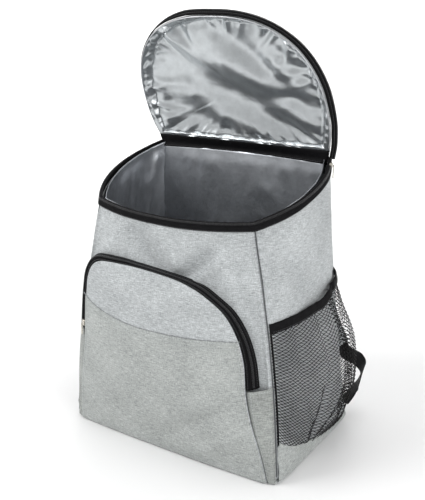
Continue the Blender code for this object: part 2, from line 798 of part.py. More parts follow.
def pocket_cup(extra):
    """Rings of the pocket's face from its middle to its edge, in front of its inner side by extra."""
    centre = Vector((0.0, POCKET_CENTRE))
    cup = []
    for share in POCKET_RINGS:
        spots = [centre.lerp(point, share) for point in pocket_rim()]
        cup.append([pocket_surface(spot.x, spot.y, extra) for spot in spots])
    return cup


def face_tree():
    """The pocket face's outer faces, for the layer that is sewn onto it."""
    cup = pocket_cup(CLOTH)
    points = [point for ring in cup for point in ring]
    faces = grid_faces(len(cup), len(cup[0]), 0, True)
    faces.append(tuple(range(len(cup[0]))))
    return BVHTree.FromPolygons(points, faces)


def make_pocket_face():
    cup_shell("pocket_face", pocket_cup(CLOTH), pocket_cup(0.0), "heather")


def slip_edge(x):
    """Height of the slip pocket's curved mouth at x."""
    return SLIP_HEIGHT + SLIP_RISE * curve_value(SLIP_CURVE, x / POCKET_HALF_WIDTH)


def make_slip_panel():
    """Outer layer over the pocket's lower face, cut to its curved mouth."""
    outline = pocket_rim()
    low = outline[0].y
    cut = [Vector((point.x, min(point.y, slip_edge(point.x)))) for point in outline]
    middle = Vector((0.0, (low + SLIP_HEIGHT) / 2))
    layers = []
    for stand in (SLIP_GAP + CLOTH, SLIP_GAP):
        cup = []
        for share in SLIP_RINGS:
            spots = [middle.lerp(point, share * SLIP_SIZE) for point in cut]
            depths = [surface_depth(FACE, spot.x, spot.y) - stand for spot in spots]
            cup.append([Vector((spot.x, y, spot.y)) for spot, y in zip(spots, depths)])
        layers.append(cup)
    cup_shell("slip_pocket", layers[0], layers[1], "heather")


def pocket_stretch(left_low, left_high, right_low, right_high):
    """The part of the pocket's arch between two heights on each side."""
    fine = pocket_outline(240)
    return [point for point in fine
            if (point.x < 0 and left_low <= point.y <= left_high)
            or (point.x >= 0 and right_low <= point.y <= right_high)]


def outline_out(points, index):
    """Outward direction of the pocket's outline in the plane of the front."""
    along = points[min(index + 1, len(points) - 1)] - points[max(index - 1, 0)]
    return Vector((-along.y, along.x)).normalized()


def band_section(rim, foot, out, front_stand, back_stand):
    """Section of the pocket's side band from behind the face's edge to its foot on the body."""
    middle = rim.lerp(foot, 0.5) + out * (foot - rim).length * BAND_SWELL
    halfway = (front_stand + back_stand) / 2
    inward = -out * CLOTH
    ring = []
    for point, stand in ((rim, front_stand), (middle, halfway), (foot, back_stand),
                         (foot + inward, back_stand), (middle + inward, halfway),
                         (rim + inward, front_stand)):
        ring.append(pocket_point(point.x, point.y, stand))
    return ring


def make_pocket_zip():
    """Arched zip band between the pocket's face and the front panel."""
    points = even_path(pocket_stretch(ZIP_END_LEFT, 1.0, ZIP_END_RIGHT, 1.0)[::6], POCKET_ZIP_STEPS)
    sections = []
    for index, rim in enumerate(points):
        out = outline_out(points, index)
        left = rim.x < 0
        flare = POCKET_FLARE_LEFT if left else POCKET_FLARE_RIGHT
        spread = SPREAD_LEFT if left else SPREAD_RIGHT
        foot = rim + out * flare * curve_value(spread, rim.y / POCKET_TOP)
        sections.append(band_section(rim, foot, out, pocket_stand(rim.y) - POCKET_GAP, POCKET_GAP))
    sweep("pocket_zip", sections, "black")


def make_pocket_gussets():
    """Grey pieces that close the pocket's sides below the zip and end at the corner seams."""
    low = pocket_outline(4)[0].y
    stretches = (
        ("pocket_gusset_left", pocket_stretch(low, ZIP_END_LEFT - POCKET_GAP, 1.0, 1.0)),
        ("pocket_gusset_right", pocket_stretch(1.0, 1.0, low, ZIP_END_RIGHT - POCKET_GAP)),
    )
    for name, stretch in stretches:
        points = even_path(stretch[::4] + stretch[-1:], GUSSET_STEPS)
        sections = []
        for index, rim in enumerate(points):
            out = outline_out(points, index)
            place = GUSSET_FOOT if rim.x > 0 else 1 - GUSSET_FOOT
            seam = body_point(place, height_share(place, rim.y))
            foot = Vector((seam.x, rim.y))
            sections.append(band_section(rim, foot, out, pocket_stand(rim.y) - POCKET_GAP, POCKET_GAP))
        sweep(name, sections, "heather")


# Zip sliders and pulls

def rounded(width, height, corner, steps):
    """Outline of a rectangle with round corners, centred on the origin."""
    points = []
    for x, y, start in ((1, 1, 0.0), (-1, 1, 0.5), (-1, -1, 1.0), (1, -1, 1.5)):
        for step in range(steps + 1):
            angle = (start + 0.5 * step / steps) * math.pi
            points.append((x * (width / 2 - corner) + corner * math.cos(angle),
                           y * (height / 2 - corner) + corner * math.sin(angle)))
    return points


def make_slider(name, centre, across, along, out):
    """Zip slider: a waisted body that is wider at its top, standing on the teeth."""
    sections = []
    for share, wide, tall in SLIDER_PROFILE:
        ring = []
        for x, y in rounded(SLIDER_WIDTH * wide, SLIDER_HEIGHT * tall, SLIDER_HEIGHT * 0.25, 1):
            ring.append(centre + across * x + out * (y + SLIDER_HEIGHT * (tall - 1) / 2)
                        + along * (SLIDER_LENGTH * share))
        sections.append(ring)
    sweep(name, sections, "metal")


def make_pull(name, top, across, along, out):
    """Pull tab that hangs from its slider: a flat link with a long eye near its top."""
    rings = []
    for share, rise, side in ((1.0, 0.0, 0.5), (1.0, 0.0, -0.5), (PULL_EYE, PULL_EYE_RISE, -0.5),
                              (PULL_EYE, PULL_EYE_RISE, 0.5)):
        middle = top - along * (PULL_LENGTH * (0.5 - rise))
        ring = []
        for x, y in rounded(PULL_WIDTH * share, PULL_LENGTH * share, PULL_WIDTH * share * 0.49, PULL_STEPS):
            ring.append(middle + across * x + along * y + out * (PULL_THICKNESS * side))
        rings.append(ring)
    points = [point for ring in rings for point in ring]
    columns = len(rings[0])
    faces = grid_faces(4, columns, 0, True)
    for column in range(columns):
        a = 3 * columns + column
        b = 3 * columns + (column + 1) % columns
        faces.append((a, b, (column + 1) % columns, column))
    build(name, points, faces, "metal")


def make_main_slider():
    place = MAIN_SLIDER_PLACE
    out = outward(place, 1.0)
    along = -mouth_up(place).cross(out).cross(out).normalized()
    across = out.cross(along).normalized()
    centre = body_point(place, 1.0) + mouth_up(place) * (TAPE_HEIGHT * 0.75)
    centre += out * (SLIDER_HEIGHT / 2 + GAP)
    make_slider("main_slider", centre, along, across, out)
    top = centre + out * (SLIDER_HEIGHT / 2 + GAP + PULL_THICKNESS / 2)
    make_pull("main_pull", top, across, Vector((0, 0, 1)), out)


def make_pocket_slider():
    """Slider at the left end of the pocket's zip, between the face's edge and the band's swell."""
    up = Vector((0, 0, 1))
    rim = min(pocket_stretch(ZIP_END_LEFT, 1.0, 1.0, 1.0), key=lambda point: point.y)
    z = rim.y + SLIDER_LENGTH
    face = pocket_point(rim.x, z, pocket_stand(z) - POCKET_GAP)
    swell = POCKET_FLARE_LEFT * (0.5 + BAND_SWELL)
    middle = pocket_point(rim.x - swell, z, pocket_stand(z) / 2)
    across = (face - middle).normalized()
    out = across.cross(up).normalized()
    spot = face.lerp(middle, SLIDER_SHARE)
    centre = spot + out * (SLIDER_HEIGHT / 2 + POCKET_GAP)
    make_slider("pocket_slider", centre, across, up, out)
    top = centre + out * (SLIDER_HEIGHT / 2 + GAP + PULL_THICKNESS / 2)
    make_pull("pocket_pull", top, across, up, out)


# Net side pockets

def side_place(share, mirror):
    """Place round the body at a share of the side's depth from its front seam."""
    place = 1.0 + NET_INSET + share * (1.0 - 2 * NET_INSET)
    return (5.0 - place) % 4 if mirror else place


def side_point(share, z, stand, mirror):
    place = side_place(share, mirror)
    return on_body(place, height_share(place, z), stand)


def net_seam(share):
    return NET_SEAM_FRONT + (NET_SEAM_BACK - NET_SEAM_FRONT) * curve_value(NET_SEAM, share)


def net_mouth(share):
    return NET_HEIGHT * curve_value(NET_MOUTH, share)


def net_stand(share, up):
    bulge = curve_value(NET_BULGE_ACROSS, share) * curve_value(NET_BULGE_UP, up)
    return NET_CLEARANCE + NET_BULGE * bulge


def make_net(suffix, mirror):
    """Net skin that bags out from the side, its binding band and the cloth skirt below it."""
    net = []
    for row in range(NET_ROWS + 1):
        up = row / NET_ROWS
        line = []
        for column in range(NET_COLUMNS + 1):
            share = column / NET_COLUMNS
            low = net_seam(share) + SEAM_GAP + CLOTH / 2
            top = net_mouth(share) - BINDING_HEIGHT - SEAM_GAP - NET_SKIN
            z = low + (top - low) * up
            line.append(side_point(share, z, net_stand(share, up), mirror))
        net.append(line)
    turn = -1 if mirror else 1
    sheet_shell("net_pocket_" + suffix, net, offset_grid(net, -NET_SKIN * turn, False), "net")

    band = []
    for column in range(NET_COLUMNS + 1):
        share = column / NET_COLUMNS
        foot = net_mouth(share) - BINDING_HEIGHT
        place = side_place(share, mirror)
        out = outward(place, height_share(place, foot))
        low = side_point(share, foot, net_stand(share, 1.0), mirror)
        high = low + Vector((0, 0, BINDING_HEIGHT)) - out * BINDING_LEAN
        thick = out * BINDING_THICKNESS
        band.append([low, high, high + thick, low + thick])
    sweep("net_binding_" + suffix, band, "black")

    inner = []
    outer = []
    for row in range(SKIRT_ROWS + 1):
        line_in = []
        line_out = []
        for column in range(NET_COLUMNS + 1):
            share = column / NET_COLUMNS
            z = SKIRT_FOOT + (net_seam(share) - SKIRT_FOOT) * row / SKIRT_ROWS
            line_in.append(side_point(share, z, NET_CLEARANCE, mirror))
            line_out.append(side_point(share, z, NET_CLEARANCE + SKIRT_THICKNESS, mirror))
        inner.append(line_in)
        outer.append(line_out)
    sheet_shell("side_skirt_" + suffix, outer, inner, "heather")


# Shoulder straps

def ribbon(name, centres, widths, axes, thickness, finish, rounding):
    """Closed band along a path: at each point it has a width, and an axis that its width follows."""
    sections = []
    for index, centre in enumerate(centres):
        along = centres[min(index + 1, len(centres) - 1)] - centres[max(index - 1, 0)]
        along.normalize()
        axis = axes[index] - along * axes[index].dot(along)
        axis.normalize()
        face = along.cross(axis).normalized()
        ring = []
        for x, y in rounded(widths[index], thickness, thickness * rounding, 1):
            ring.append(centre + axis * x + face * y)
        sections.append(ring)
    sweep(name, sections, finish)


def make_strap(suffix, side):
    """Padded shoulder strap from the top of the back to near the low corner, and its webbing."""
    back = body_point(2.5, STRAP_ROOT_HEIGHT).y + STRAP_THICKNESS / 2 + POCKET_GAP
    rows = []
    for x, y, z in STRAP_PATH:
        rows.append(Vector((side * BASE_WIDTH * x, back + BASE_DEPTH * y, HINGE_HEIGHT * z)))
    centres = even_path(rows, STRAP_STEPS)
    widths = []
    axes = []
    for step in range(STRAP_STEPS + 1):
        share = step / STRAP_STEPS
        widths.append(STRAP_WIDTH * curve_value(STRAP_TAPER, share))
        turn = Vector(STRAP_AXIS_ROOT).lerp(Vector(STRAP_AXIS_TIP), share)
        axes.append(Vector((side * turn.x, turn.y, turn.z)))
    ribbon("shoulder_strap_" + suffix, centres, widths, axes, STRAP_THICKNESS, "heather", STRAP_ROUNDING)

    tip = centres[-1]
    heading = (centres[-1] - centres[-2]).normalized()
    anchor_place = 2.0 if side > 0 else 3.0
    anchor_height = height_share(anchor_place, WEBBING_ANCHOR)
    anchor = on_body(anchor_place, anchor_height, WEBBING_THICKNESS / 2 + GAP)
    rows = [tip + heading * WEBBING_GAP, tip + heading * WEBBING_LEAD]
    for x, y, z in WEBBING_PATH:
        rows.append(Vector((side * BASE_WIDTH * x, BASE_DEPTH * y, HINGE_HEIGHT * z)))
    centres = even_path(rows + [anchor], WEBBING_STEPS)
    axes = []
    for step in range(WEBBING_STEPS + 1):
        twist = curve_value(WEBBING_TWIST, step / WEBBING_STEPS)
        turn = Vector(WEBBING_AXIS_TOP).lerp(Vector(WEBBING_AXIS_FOOT), twist)
        axes.append(Vector((side * turn.x, turn.y, turn.z)))
    widths = [WEBBING_WIDTH] * (WEBBING_STEPS + 1)
    ribbon("strap_webbing_" + suffix, centres, widths, axes, WEBBING_THICKNESS, "black", STRAP_ROUNDING)


clear_scene()
FRONT = front_tree()
FACE = face_tree()
make_base()
make_body()
make_liner()
make_mouth_tape()
make_lid()
make_lid_tape()
make_lid_piping()
make_hinge()
make_pocket_face()
make_slip_panel()
make_pocket_zip()
make_pocket_gussets()
make_main_slider()
make_pocket_slider()
for side_name, is_left in (("right", False), ("left", True)):
    make_net(side_name, is_left)
    make_strap(side_name, -1 if is_left else 1)
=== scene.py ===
"""Looks of the cooler backpack: heather cloth, foil linings, zips with teeth, net side pockets,
padded straps, stitches and puckers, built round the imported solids. Lengths are in metres."""

import math

import bpy
import numpy as np
from mathutils import Matrix, Vector


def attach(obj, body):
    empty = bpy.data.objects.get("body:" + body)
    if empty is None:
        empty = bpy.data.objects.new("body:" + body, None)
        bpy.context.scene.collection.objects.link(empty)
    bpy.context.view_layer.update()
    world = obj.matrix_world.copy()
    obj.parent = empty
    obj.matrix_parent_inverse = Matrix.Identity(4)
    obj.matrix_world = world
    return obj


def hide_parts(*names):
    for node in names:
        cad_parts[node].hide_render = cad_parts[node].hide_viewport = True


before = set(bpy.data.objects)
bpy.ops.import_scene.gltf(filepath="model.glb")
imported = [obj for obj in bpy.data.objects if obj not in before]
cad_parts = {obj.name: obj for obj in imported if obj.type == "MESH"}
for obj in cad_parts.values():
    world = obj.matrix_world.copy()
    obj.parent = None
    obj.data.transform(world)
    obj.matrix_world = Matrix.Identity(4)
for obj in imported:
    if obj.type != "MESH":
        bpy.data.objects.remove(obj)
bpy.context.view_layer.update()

# Sizes shared with the part
BASE_WIDTH = 0.326
BASE_DEPTH = 0.206
MOUTH_WIDTH = 0.232
MOUTH_FRONT_HEIGHT = 0.309
MOUTH_FRONT_REACH = 0.088
HINGE_WIDTH = 0.262
HINGE_HEIGHT = 0.368
HINGE_REACH = 0.0755
FRONT_BOW = 0.019
SIDE_BOW = 0.026
BACK_BOW = 0.006
BASE_BOW = 0.004
CORNER_INSET = 0.003
BASE_SQUARENESS = 7.0
MOUTH_SQUARENESS = 2.2
FRONT_BELLY = 0.006
SIDE_BELLY = 0.004
DENT_DEPTH = 0.0042
DENT_FRONT_SPAN = 0.277
DENT_SIDE_SPAN = 0.196
WALL = 0.006
FLOOR = 0.0053
LINER_RISE = 0.005
LID_LEAN = math.radians(24.0)
LID_LENGTH = 0.197
LID_HALF_WIDTH = 0.141
LID_HINGE_HALF = 0.129
LID_WIDEST = 0.062
LID_SQUARENESS = 2.42
LID_LEG = 0.18
LID_CENTRE = 0.09
LID_RISE = 0.11
LID_RIM = 0.014
LID_RIM_LOW = 0.0049
LID_CROWN = 0.010
LID_WALL = 0.0035
HINGE_STRIP = 0.016
POCKET_HALF_WIDTH = 0.126
POCKET_TOP = 0.252
POCKET_DEPTH = 0.015
POCKET_CROWN = 0.010
POCKET_CENTRE = 0.121
POCKET_FLARE_LEFT = 0.020
POCKET_FLARE_RIGHT = 0.009
BAND_SWELL = 0.25
ZIP_END_LEFT = 0.142
ZIP_END_RIGHT = 0.124
SLIP_HEIGHT = 0.178
SLIP_RISE = 0.027
CLOTH = 0.002
NET_HEIGHT = 0.196
NET_BULGE = 0.031
NET_SEAM_FRONT = 0.055
NET_SEAM_BACK = 0.010
NET_INSET = 0.012
BINDING_HEIGHT = 0.0085
STRAP_WIDTH = 0.060
STRAP_THICKNESS = 0.011
WEBBING_WIDTH = 0.025
WEBBING_THICKNESS = 0.0016
WEBBING_ANCHOR = 0.022

FRONT_SEAM = ((0.0, 0.0), (0.2, 0.09), (0.36, 0.20), (0.6, 0.44), (0.78, 0.69), (0.92, 0.89), (1.0, 1.0))
BACK_SEAM = ((0.0, 0.0), (0.2, 0.24), (0.4, 0.48), (0.6, 0.71), (0.8, 0.9), (1.0, 1.0))
BOW_CURVE = ((0.0, 0.0), (0.3, 0.08), (0.6, 0.3), (0.8, 0.6), (1.0, 1.0))
DENTS = (
    (0.69, 0.85, 0.17, 0.085, 40.0, 1.0),
    (0.88, 0.78, 0.12, 0.090, 30.0, -1.0),
    (0.37, 0.89, 0.16, 0.080, -38.0, 0.7),
    (0.19, 0.84, 0.10, 0.090, 0.0, -0.8),
    (1.45, 0.70, 0.20, 0.100, 12.0, 0.6),
    (3.55, 0.70, 0.20, 0.100, -12.0, 0.6),
)
POCKET_OUTLINE = (
    (-1.19, 0.03), (-1.12, 0.20), (-1.05, 0.36), (-0.98, 0.55), (-0.96, 0.78), (-0.945, 0.87),
    (-0.885, 0.938), (-0.77, 0.977), (-0.58, 0.992), (-0.28, 0.996), (0.06, 0.985), (0.35, 0.963),
    (0.56, 0.928), (0.76, 0.86), (0.90, 0.755), (0.975, 0.63), (1.0, 0.48), (1.04, 0.36),
    (1.11, 0.20), (1.19, 0.03),
)
POCKET_STANDOFF = (
    (0.0, 0.12), (0.1, 0.35), (0.22, 0.68), (0.36, 0.92), (0.5, 1.0), (0.85, 1.0), (1.0, 0.9),
)
POCKET_SIDE = ((0.0, 1.2), (0.2, 1.12), (0.36, 1.05), (0.5, 1.01), (0.78, 1.0), (1.0, 1.0))
SLIP_CURVE = (
    (-1.05, 0.81), (-0.8, 0.44), (-0.55, 0.18), (-0.3, 0.035), (0.0, 0.0), (0.5, 0.09), (1.0, 0.35),
)
SPREAD_LEFT = ((0.0, 0.1), (0.2, 0.5), (0.45, 1.0), (0.85, 0.9), (0.96, 0.45), (1.0, 0.15))
SPREAD_RIGHT = ((0.0, 0.1), (0.2, 0.6), (0.45, 1.0), (0.65, 0.65), (0.9, 0.3), (1.0, 0.46))
NET_MOUTH = (
    (0.0, 1.034), (0.11, 1.045), (0.255, 1.05), (0.405, 1.06), (0.55, 1.07), (0.64, 1.095), (0.75, 1.12),
    (0.88, 1.138), (1.0, 1.15),
)
NET_SEAM = ((0.0, 0.0), (0.1, 0.28), (0.2, 0.48), (0.4, 0.74), (0.6, 0.9), (0.8, 0.98), (1.0, 1.0))
NET_BULGE_ACROSS = (
    (0.0, 0.0), (0.15, 0.2), (0.35, 0.52), (0.55, 0.86), (0.7, 1.0), (0.85, 0.9), (0.95, 0.5), (1.0, 0.0),
)
NET_BULGE_UP = ((0.0, 0.03), (0.12, 0.42), (0.3, 0.85), (0.5, 1.0), (0.7, 0.88), (0.88, 0.56), (1.0, 0.34))
STRAP_PATH = (
    (0.14, 0.01, 0.86), (0.14, 0.035, 0.92), (0.145, 0.13, 0.965), (0.16, 0.25, 0.91),
    (0.185, 0.29, 0.76), (0.215, 0.27, 0.60), (0.27, 0.24, 0.45), (0.345, 0.21, 0.325), (0.425, 0.19, 0.258),
)
STRAP_TAPER = ((0.0, 0.8), (0.15, 0.95), (0.4, 1.0), (0.75, 0.95), (0.9, 0.7), (1.0, 0.45))
WEBBING_PATH = ((0.515, 0.57, 0.23), (0.544, 0.568, 0.2), (0.526, 0.58, 0.135), (0.509, 0.552, 0.10))
WEBBING_TWIST = ((0.0, 0.0), (0.15, 0.1), (0.375, 0.5), (0.6, 0.9), (0.75, 1.0), (1.0, 1.0))

RIGHT = np.array((1.0, 0.0, 0.0))
BACKWARD = np.array((0.0, 1.0, 0.0))
UP = np.array((0.0, 0.0, 1.0))


# Curves, noise and mesh helpers

def curve(table, x):
    """Smooth values of a two-column table, flat beyond its ends."""
    rows = np.array(table, float)
    xs, ys = rows[:, 0], rows[:, 1]
    x = np.clip(np.asarray(x, float), xs[0], xs[-1])
    last = len(xs) - 1
    i = np.clip(np.searchsorted(xs, x) - 1, 0, last - 1)
    before = np.maximum(i - 1, 0)
    after = np.minimum(i + 2, last)
    slope0 = (ys[i + 1] - ys[before]) / (xs[i + 1] - xs[before])
    slope1 = (ys[after] - ys[i]) / (xs[after] - xs[i])
    span = xs[i + 1] - xs[i]
    s = (x - xs[i]) / span
    return ((2 * s ** 3 - 3 * s ** 2 + 1) * ys[i] + (s ** 3 - 2 * s ** 2 + s) * span * slope0
            + (3 * s ** 2 - 2 * s ** 3) * ys[i + 1] + (s ** 3 - s ** 2) * span * slope1)


def unit(vectors):
    size = np.linalg.norm(vectors, axis=-1, keepdims=True)
    return vectors / np.maximum(size, 1e-12)


def smooth_step(low, high, x):
    s = np.clip((np.asarray(x, float) - low) / (high - low), 0.0, 1.0)
    return s * s * (3 - 2 * s)


def hump(x, centre, width):
    """Bell curve of height 1."""
    return np.exp(-((x - centre) / width) ** 2)


def right_of(along):
    """Level direction to the right of each direction, of length 1."""
    return unit(np.stack([along[..., 1], -along[..., 0]], -1))


def round_angles(count):
    return [math.tau * k / count for k in range(count)]


def spline(points, count):
    """Points spaced evenly by length along a Catmull-Rom curve through the given points."""
    points = np.asarray(points, float)
    ends = np.vstack([2 * points[:1] - points[1:2], points, 2 * points[-1:] - points[-2:-1]])
    spans = len(points) - 1
    place = np.linspace(0, spans, max(count, spans) * 8 + 1)
    row = np.minimum(place.astype(int), spans - 1)
    s = (place - row)[:, None]
    a, b, c, d = (ends[row + k] for k in range(4))
    square, cube = 2 * a - 5 * b + 4 * c - d, 3 * b - a - 3 * c + d
    fine = 0.5 * (2 * b + (c - a) * s + square * s ** 2 + cube * s ** 3)
    return resample(fine, count)


def lengths_of(path):
    steps = np.linalg.norm(np.diff(path, axis=0), axis=1)
    return np.concatenate([[0.0], np.cumsum(steps)])


def resample(path, count):
    path = np.asarray(path, float)
    along = lengths_of(path)
    wanted = np.linspace(0, along[-1], count + 1)
    return np.stack([np.interp(wanted, along, path[:, k]) for k in range(path.shape[1])], -1)


def noise(u, v, seed):
    """Smooth value noise between -1 and 1 on a lattice of step 1."""
    iu, iv = (np.floor(values).astype(np.int64) for values in (u, v))
    fu, fv = (part * part * (3 - 2 * part) for part in (u - iu, v - iv))

    def corner(a, b):
        mixed = (a * 374761393 + b * 668265263 + seed * 974634777) & 0xFFFFFFFF
        mixed = ((mixed ^ (mixed >> 13)) * 1274126177) & 0xFFFFFFFF
        return ((mixed ^ (mixed >> 16)) & 0xFFFF) / 32767.5 - 1.0

    low = corner(iu, iv) * (1 - fu) + corner(iu + 1, iv) * fu
    high = corner(iu, iv + 1) * (1 - fu) + corner(iu + 1, iv + 1) * fu
    return low * (1 - fv) + high * fv


def creases(u, v, seed):
    """Sharp-backed folds between 0 and 1, as in creased foil."""
    total = np.zeros_like(u)
    size = 1.0
    for octave in range(3):
        total += size * (1 - np.abs(noise(u, v, seed + octave * 7)) * 2)
        u, v = u * 1.9 + v * 0.6, v * 1.9 - u * 0.5
        size *= 0.5
    return total / 2


def fold(u, v, rows):
    """Sum of ridges along lines. Columns: start u and v, end u and v, half width, height."""
    total = np.zeros(np.broadcast(u, v).shape)
    for u0, v0, u1, v1, width, height in rows:
        du, dv = u1 - u0, v1 - v0
        size = math.hypot(du, dv)
        along = ((u - u0) * du + (v - v0) * dv) / size
        across = ((v - v0) * du - (u - u0) * dv) / size
        over = np.maximum(np.maximum(-along, along - size), 0.0)
        total += height * np.exp(-(across / width) ** 2 - (over / (width * 2.0)) ** 2)
    return total


def grid_normals(grid, closed=False):
    """Unit normals of a grid of points, along column step cross row step."""
    if closed:
        across = np.roll(grid, -1, 1) - np.roll(grid, 1, 1)
    else:
        across = np.gradient(grid, axis=1)
    return unit(np.cross(across, np.gradient(grid, axis=0)))


def faced(normals, row, column, back=False):
    """All the normals, turned round if the one at that place looks to the wrong side of front and back."""
    return -normals if (normals[row, column, 1] > 0) != back else normals


def grown(values, rows, columns=(0, 0)):
    """The same grid with its edge rows and columns repeated."""
    return np.pad(values, (rows, columns, (0, 0)), mode="edge")


def add_object(name, data):
    thing = bpy.data.objects.new(name, data)
    bpy.context.collection.objects.link(thing)
    return thing


def add_mesh(name, points, faces, finish, uv=None, nodes=()):
    """One piece in a named finish, in place of the named nodes. All but the studio's floor ride on the root."""
    mesh = bpy.data.meshes.new(name)
    points = np.asarray(points, np.float32).reshape(-1, 3)
    faces = np.asarray(faces, np.int32)
    count, sides = faces.shape
    mesh.vertices.add(len(points))
    mesh.vertices.foreach_set("co", points.ravel())
    mesh.loops.add(count * sides)
    mesh.loops.foreach_set("vertex_index", faces.ravel())
    mesh.polygons.add(count)
    mesh.polygons.foreach_set("loop_start", np.arange(count, dtype=np.int32) * sides)
    mesh.polygons.foreach_set("loop_total", np.full(count, sides, np.int32))
    layer = mesh.uv_layers.new(name="cloth")
    if uv is not None:
        layer.data.foreach_set("uv", np.asarray(uv, np.float32).ravel())
    mesh.update()
    mesh.validate()
    mesh.shade_smooth()
    mesh.materials.append(FINISH[finish])
    thing = add_object(name, mesh)
    if finish in SLOT_OF:
        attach(thing, "root")
    if nodes:
        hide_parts(*nodes)
    return thing


def grid_piece(name, grid, finish, uv, *nodes, closed=False, flip=False):
    """Sheet of quads from a grid of points. With closed columns, uv may have one column more."""
    rows, columns = grid.shape[:2]
    index = np.arange(rows * columns).reshape(rows, columns)
    if closed:
        index = np.hstack([index, index[:, :1]])
    if uv.shape[1] < index.shape[1]:
        uv = np.hstack([uv, uv[:, :1]])
    faces, loops = (np.stack([whole[:-1, :-1], whole[:-1, 1:], whole[1:, 1:], whole[1:, :-1]], 2)
                    for whole in (index, uv))
    faces, loops = faces.reshape(-1, 4), loops.reshape(-1, 4, 2)
    if flip:
        faces, loops = faces[:, ::-1], loops[:, ::-1]
    return add_mesh(name, grid, faces, finish, loops, nodes)


def tube_uv(sections):
    """Length along and round a sweep, in metres, for a closed section."""
    ring = sections[len(sections) // 2]
    round_it = lengths_of(np.vstack([ring, ring[:1]]))
    return np.stack(np.meshgrid(round_it, lengths_of(sections.mean(1))), -1)


def sweep_piece(name, sections, finish, *nodes):
    """Closed band through sections, each a ring of the same number of points, with closed ends."""
    first, last = sections[:1], sections[-1:]
    start, end = (np.repeat(ring.mean(1, keepdims=True), ring.shape[1], 1) for ring in (first, last))
    whole = np.concatenate([start, first, sections, last, end])
    return grid_piece(name, whole, finish, grown(tube_uv(sections), (2, 2)), *nodes, closed=True)


def capsule(sides=6):
    """Points and faces of a blunt rod of length 1 along x and radius 1."""
    rings = ((-0.5, 0.45), (-0.38, 0.9), (0.0, 1.0), (0.38, 0.9), (0.5, 0.45))
    points = [(x, radius * math.cos(angle), radius * math.sin(angle)) for x, radius in rings
              for angle in round_angles(sides)]
    faces = []
    for row in range(len(rings) - 1):
        for side in range(sides):
            a = row * sides + side
            b = row * sides + (side + 1) % sides
            faces.append((a, b, b + sides, a + sides))
    top = (len(rings) - 1) * sides
    for side in range(1, sides - 2, 2):
        faces.append((0, side + 2, side + 1, side))
        faces.append((top, top + side, top + side + 1, top + side + 2))
    return np.array(points), np.array(faces)


def repeat_piece(name, proto, places, along, across, out, sizes, finish, *nodes):
    """One mesh with a copy of a prototype at each place, stretched along its three axes."""
    points, faces = proto
    count = len(places)
    sizes = np.broadcast_to(np.asarray(sizes, float), (count, 3))
    frames = np.stack([along, across, out], 1) * sizes[:, :, None]
    placed = np.einsum("pk,nkj->npj", points, frames) + places[:, None, :]
    all_faces = (faces[None] + (np.arange(count) * len(points))[:, None, None]).reshape(-1, faces.shape[1])
    return add_mesh(name, placed, all_faces, finish, nodes=nodes)


def dots_along(path, normals, pitch):
    """Evenly spaced places on a path, with the path's direction, its side and its outward normal."""
    along = lengths_of(path)
    count = max(int(along[-1] / pitch), 1)
    wanted = (np.arange(count) + 0.5) * along[-1] / count

    def at(rows, shift):
        return np.stack([np.interp(wanted + shift, along, rows[:, k]) for k in range(3)], -1)

    direction = unit(at(path, pitch * 0.4) - at(path, -pitch * 0.4))
    side = unit(np.cross(unit(at(normals, 0.0)), direction))
    return at(path, 0.0), direction, side, np.cross(direction, side)


STITCH_PITCH = 0.0034
FINE_PITCH = 0.003
STITCHES = {"grey_thread": [], "black_thread": [], "silver_thread": []}


def stitch(kind, path, normals, pitch=STITCH_PITCH, lift=0.00015):
    """Keeps a row of stitches for one piece that is made at the end."""
    places, along, side, out = dots_along(path, normals, pitch)
    sizes = np.tile((pitch * 0.72, 0.00032, 0.00026), (len(places), 1))
    STITCHES[kind].append((places + out * lift, along, side, out, sizes))


def make_stitches():
    for kind, rows in STITCHES.items():
        columns = [np.concatenate(column) for column in zip(*rows)]
        repeat_piece("stitches_" + kind.split("_")[0], capsule(), *columns, kind)


# Size of a zip's coil turns: distance, height above the tape and thickness
TOOTH_PITCH = 0.00155
TOOTH_HEIGHT = 0.0009
TOOTH_THICK = 0.00052


def teeth(name, path, normals, width, lift):
    """Coil of a closed zip: one cross bar for each turn."""
    places, along, side, out = dots_along(path, normals, TOOTH_PITCH)
    sizes = (width, TOOTH_THICK, TOOTH_HEIGHT)
    repeat_piece(name, capsule(), places + out * lift, side, along, out, sizes, "coil")


# Materials

def node(tree, kind, **values):
    made = tree.nodes.new(kind)
    for key, value in values.items():
        if key in made.inputs:
            made.inputs[key].default_value = value
        else:
            setattr(made, key, value)
    return made


def new_material(name, space, values):
    """Material with some inputs of its shader set, and the coordinates for its textures."""
    made = bpy.data.materials.new(name)
    made.use_nodes = True
    tree = made.node_tree
    shader = tree.nodes["Principled BSDF"]
    for key, value in values.items():
        shader.inputs[key].default_value = value
    return made, tree, shader, node(tree, "ShaderNodeTexCoord").outputs[space]


def grain(tree, space, scale, detail=2.0, roughness=0.6):
    """Noise with one scale for all axes, or one for each."""
    mapping = node(tree, "ShaderNodeMapping", Scale=scale if isinstance(scale, tuple) else (scale,) * 3)
    tree.links.new(space, mapping.inputs["Vector"])
    made = node(tree, "ShaderNodeTexNoise", Scale=1.0, Detail=detail, Roughness=roughness)
    tree.links.new(mapping.outputs["Vector"], made.inputs["Vector"])
    return made.outputs["Fac"]


def combine(tree, kind, first, second):
    made = node(tree, "ShaderNodeMath", operation=kind)
    tree.links.new(first, made.inputs[0])
    if isinstance(second, float):
        made.inputs[1].default_value = second
    else:
        tree.links.new(second, made.inputs[1])
    return made.outputs[0]


def weighted(tree, *terms):
    """Sum of values, each times its weight."""
    parts = [combine(tree, "MULTIPLY", value, weight) for value, weight in terms]
    total = parts[0]
    for part in parts[1:]:
        total = combine(tree, "ADD", total, part)
    return total


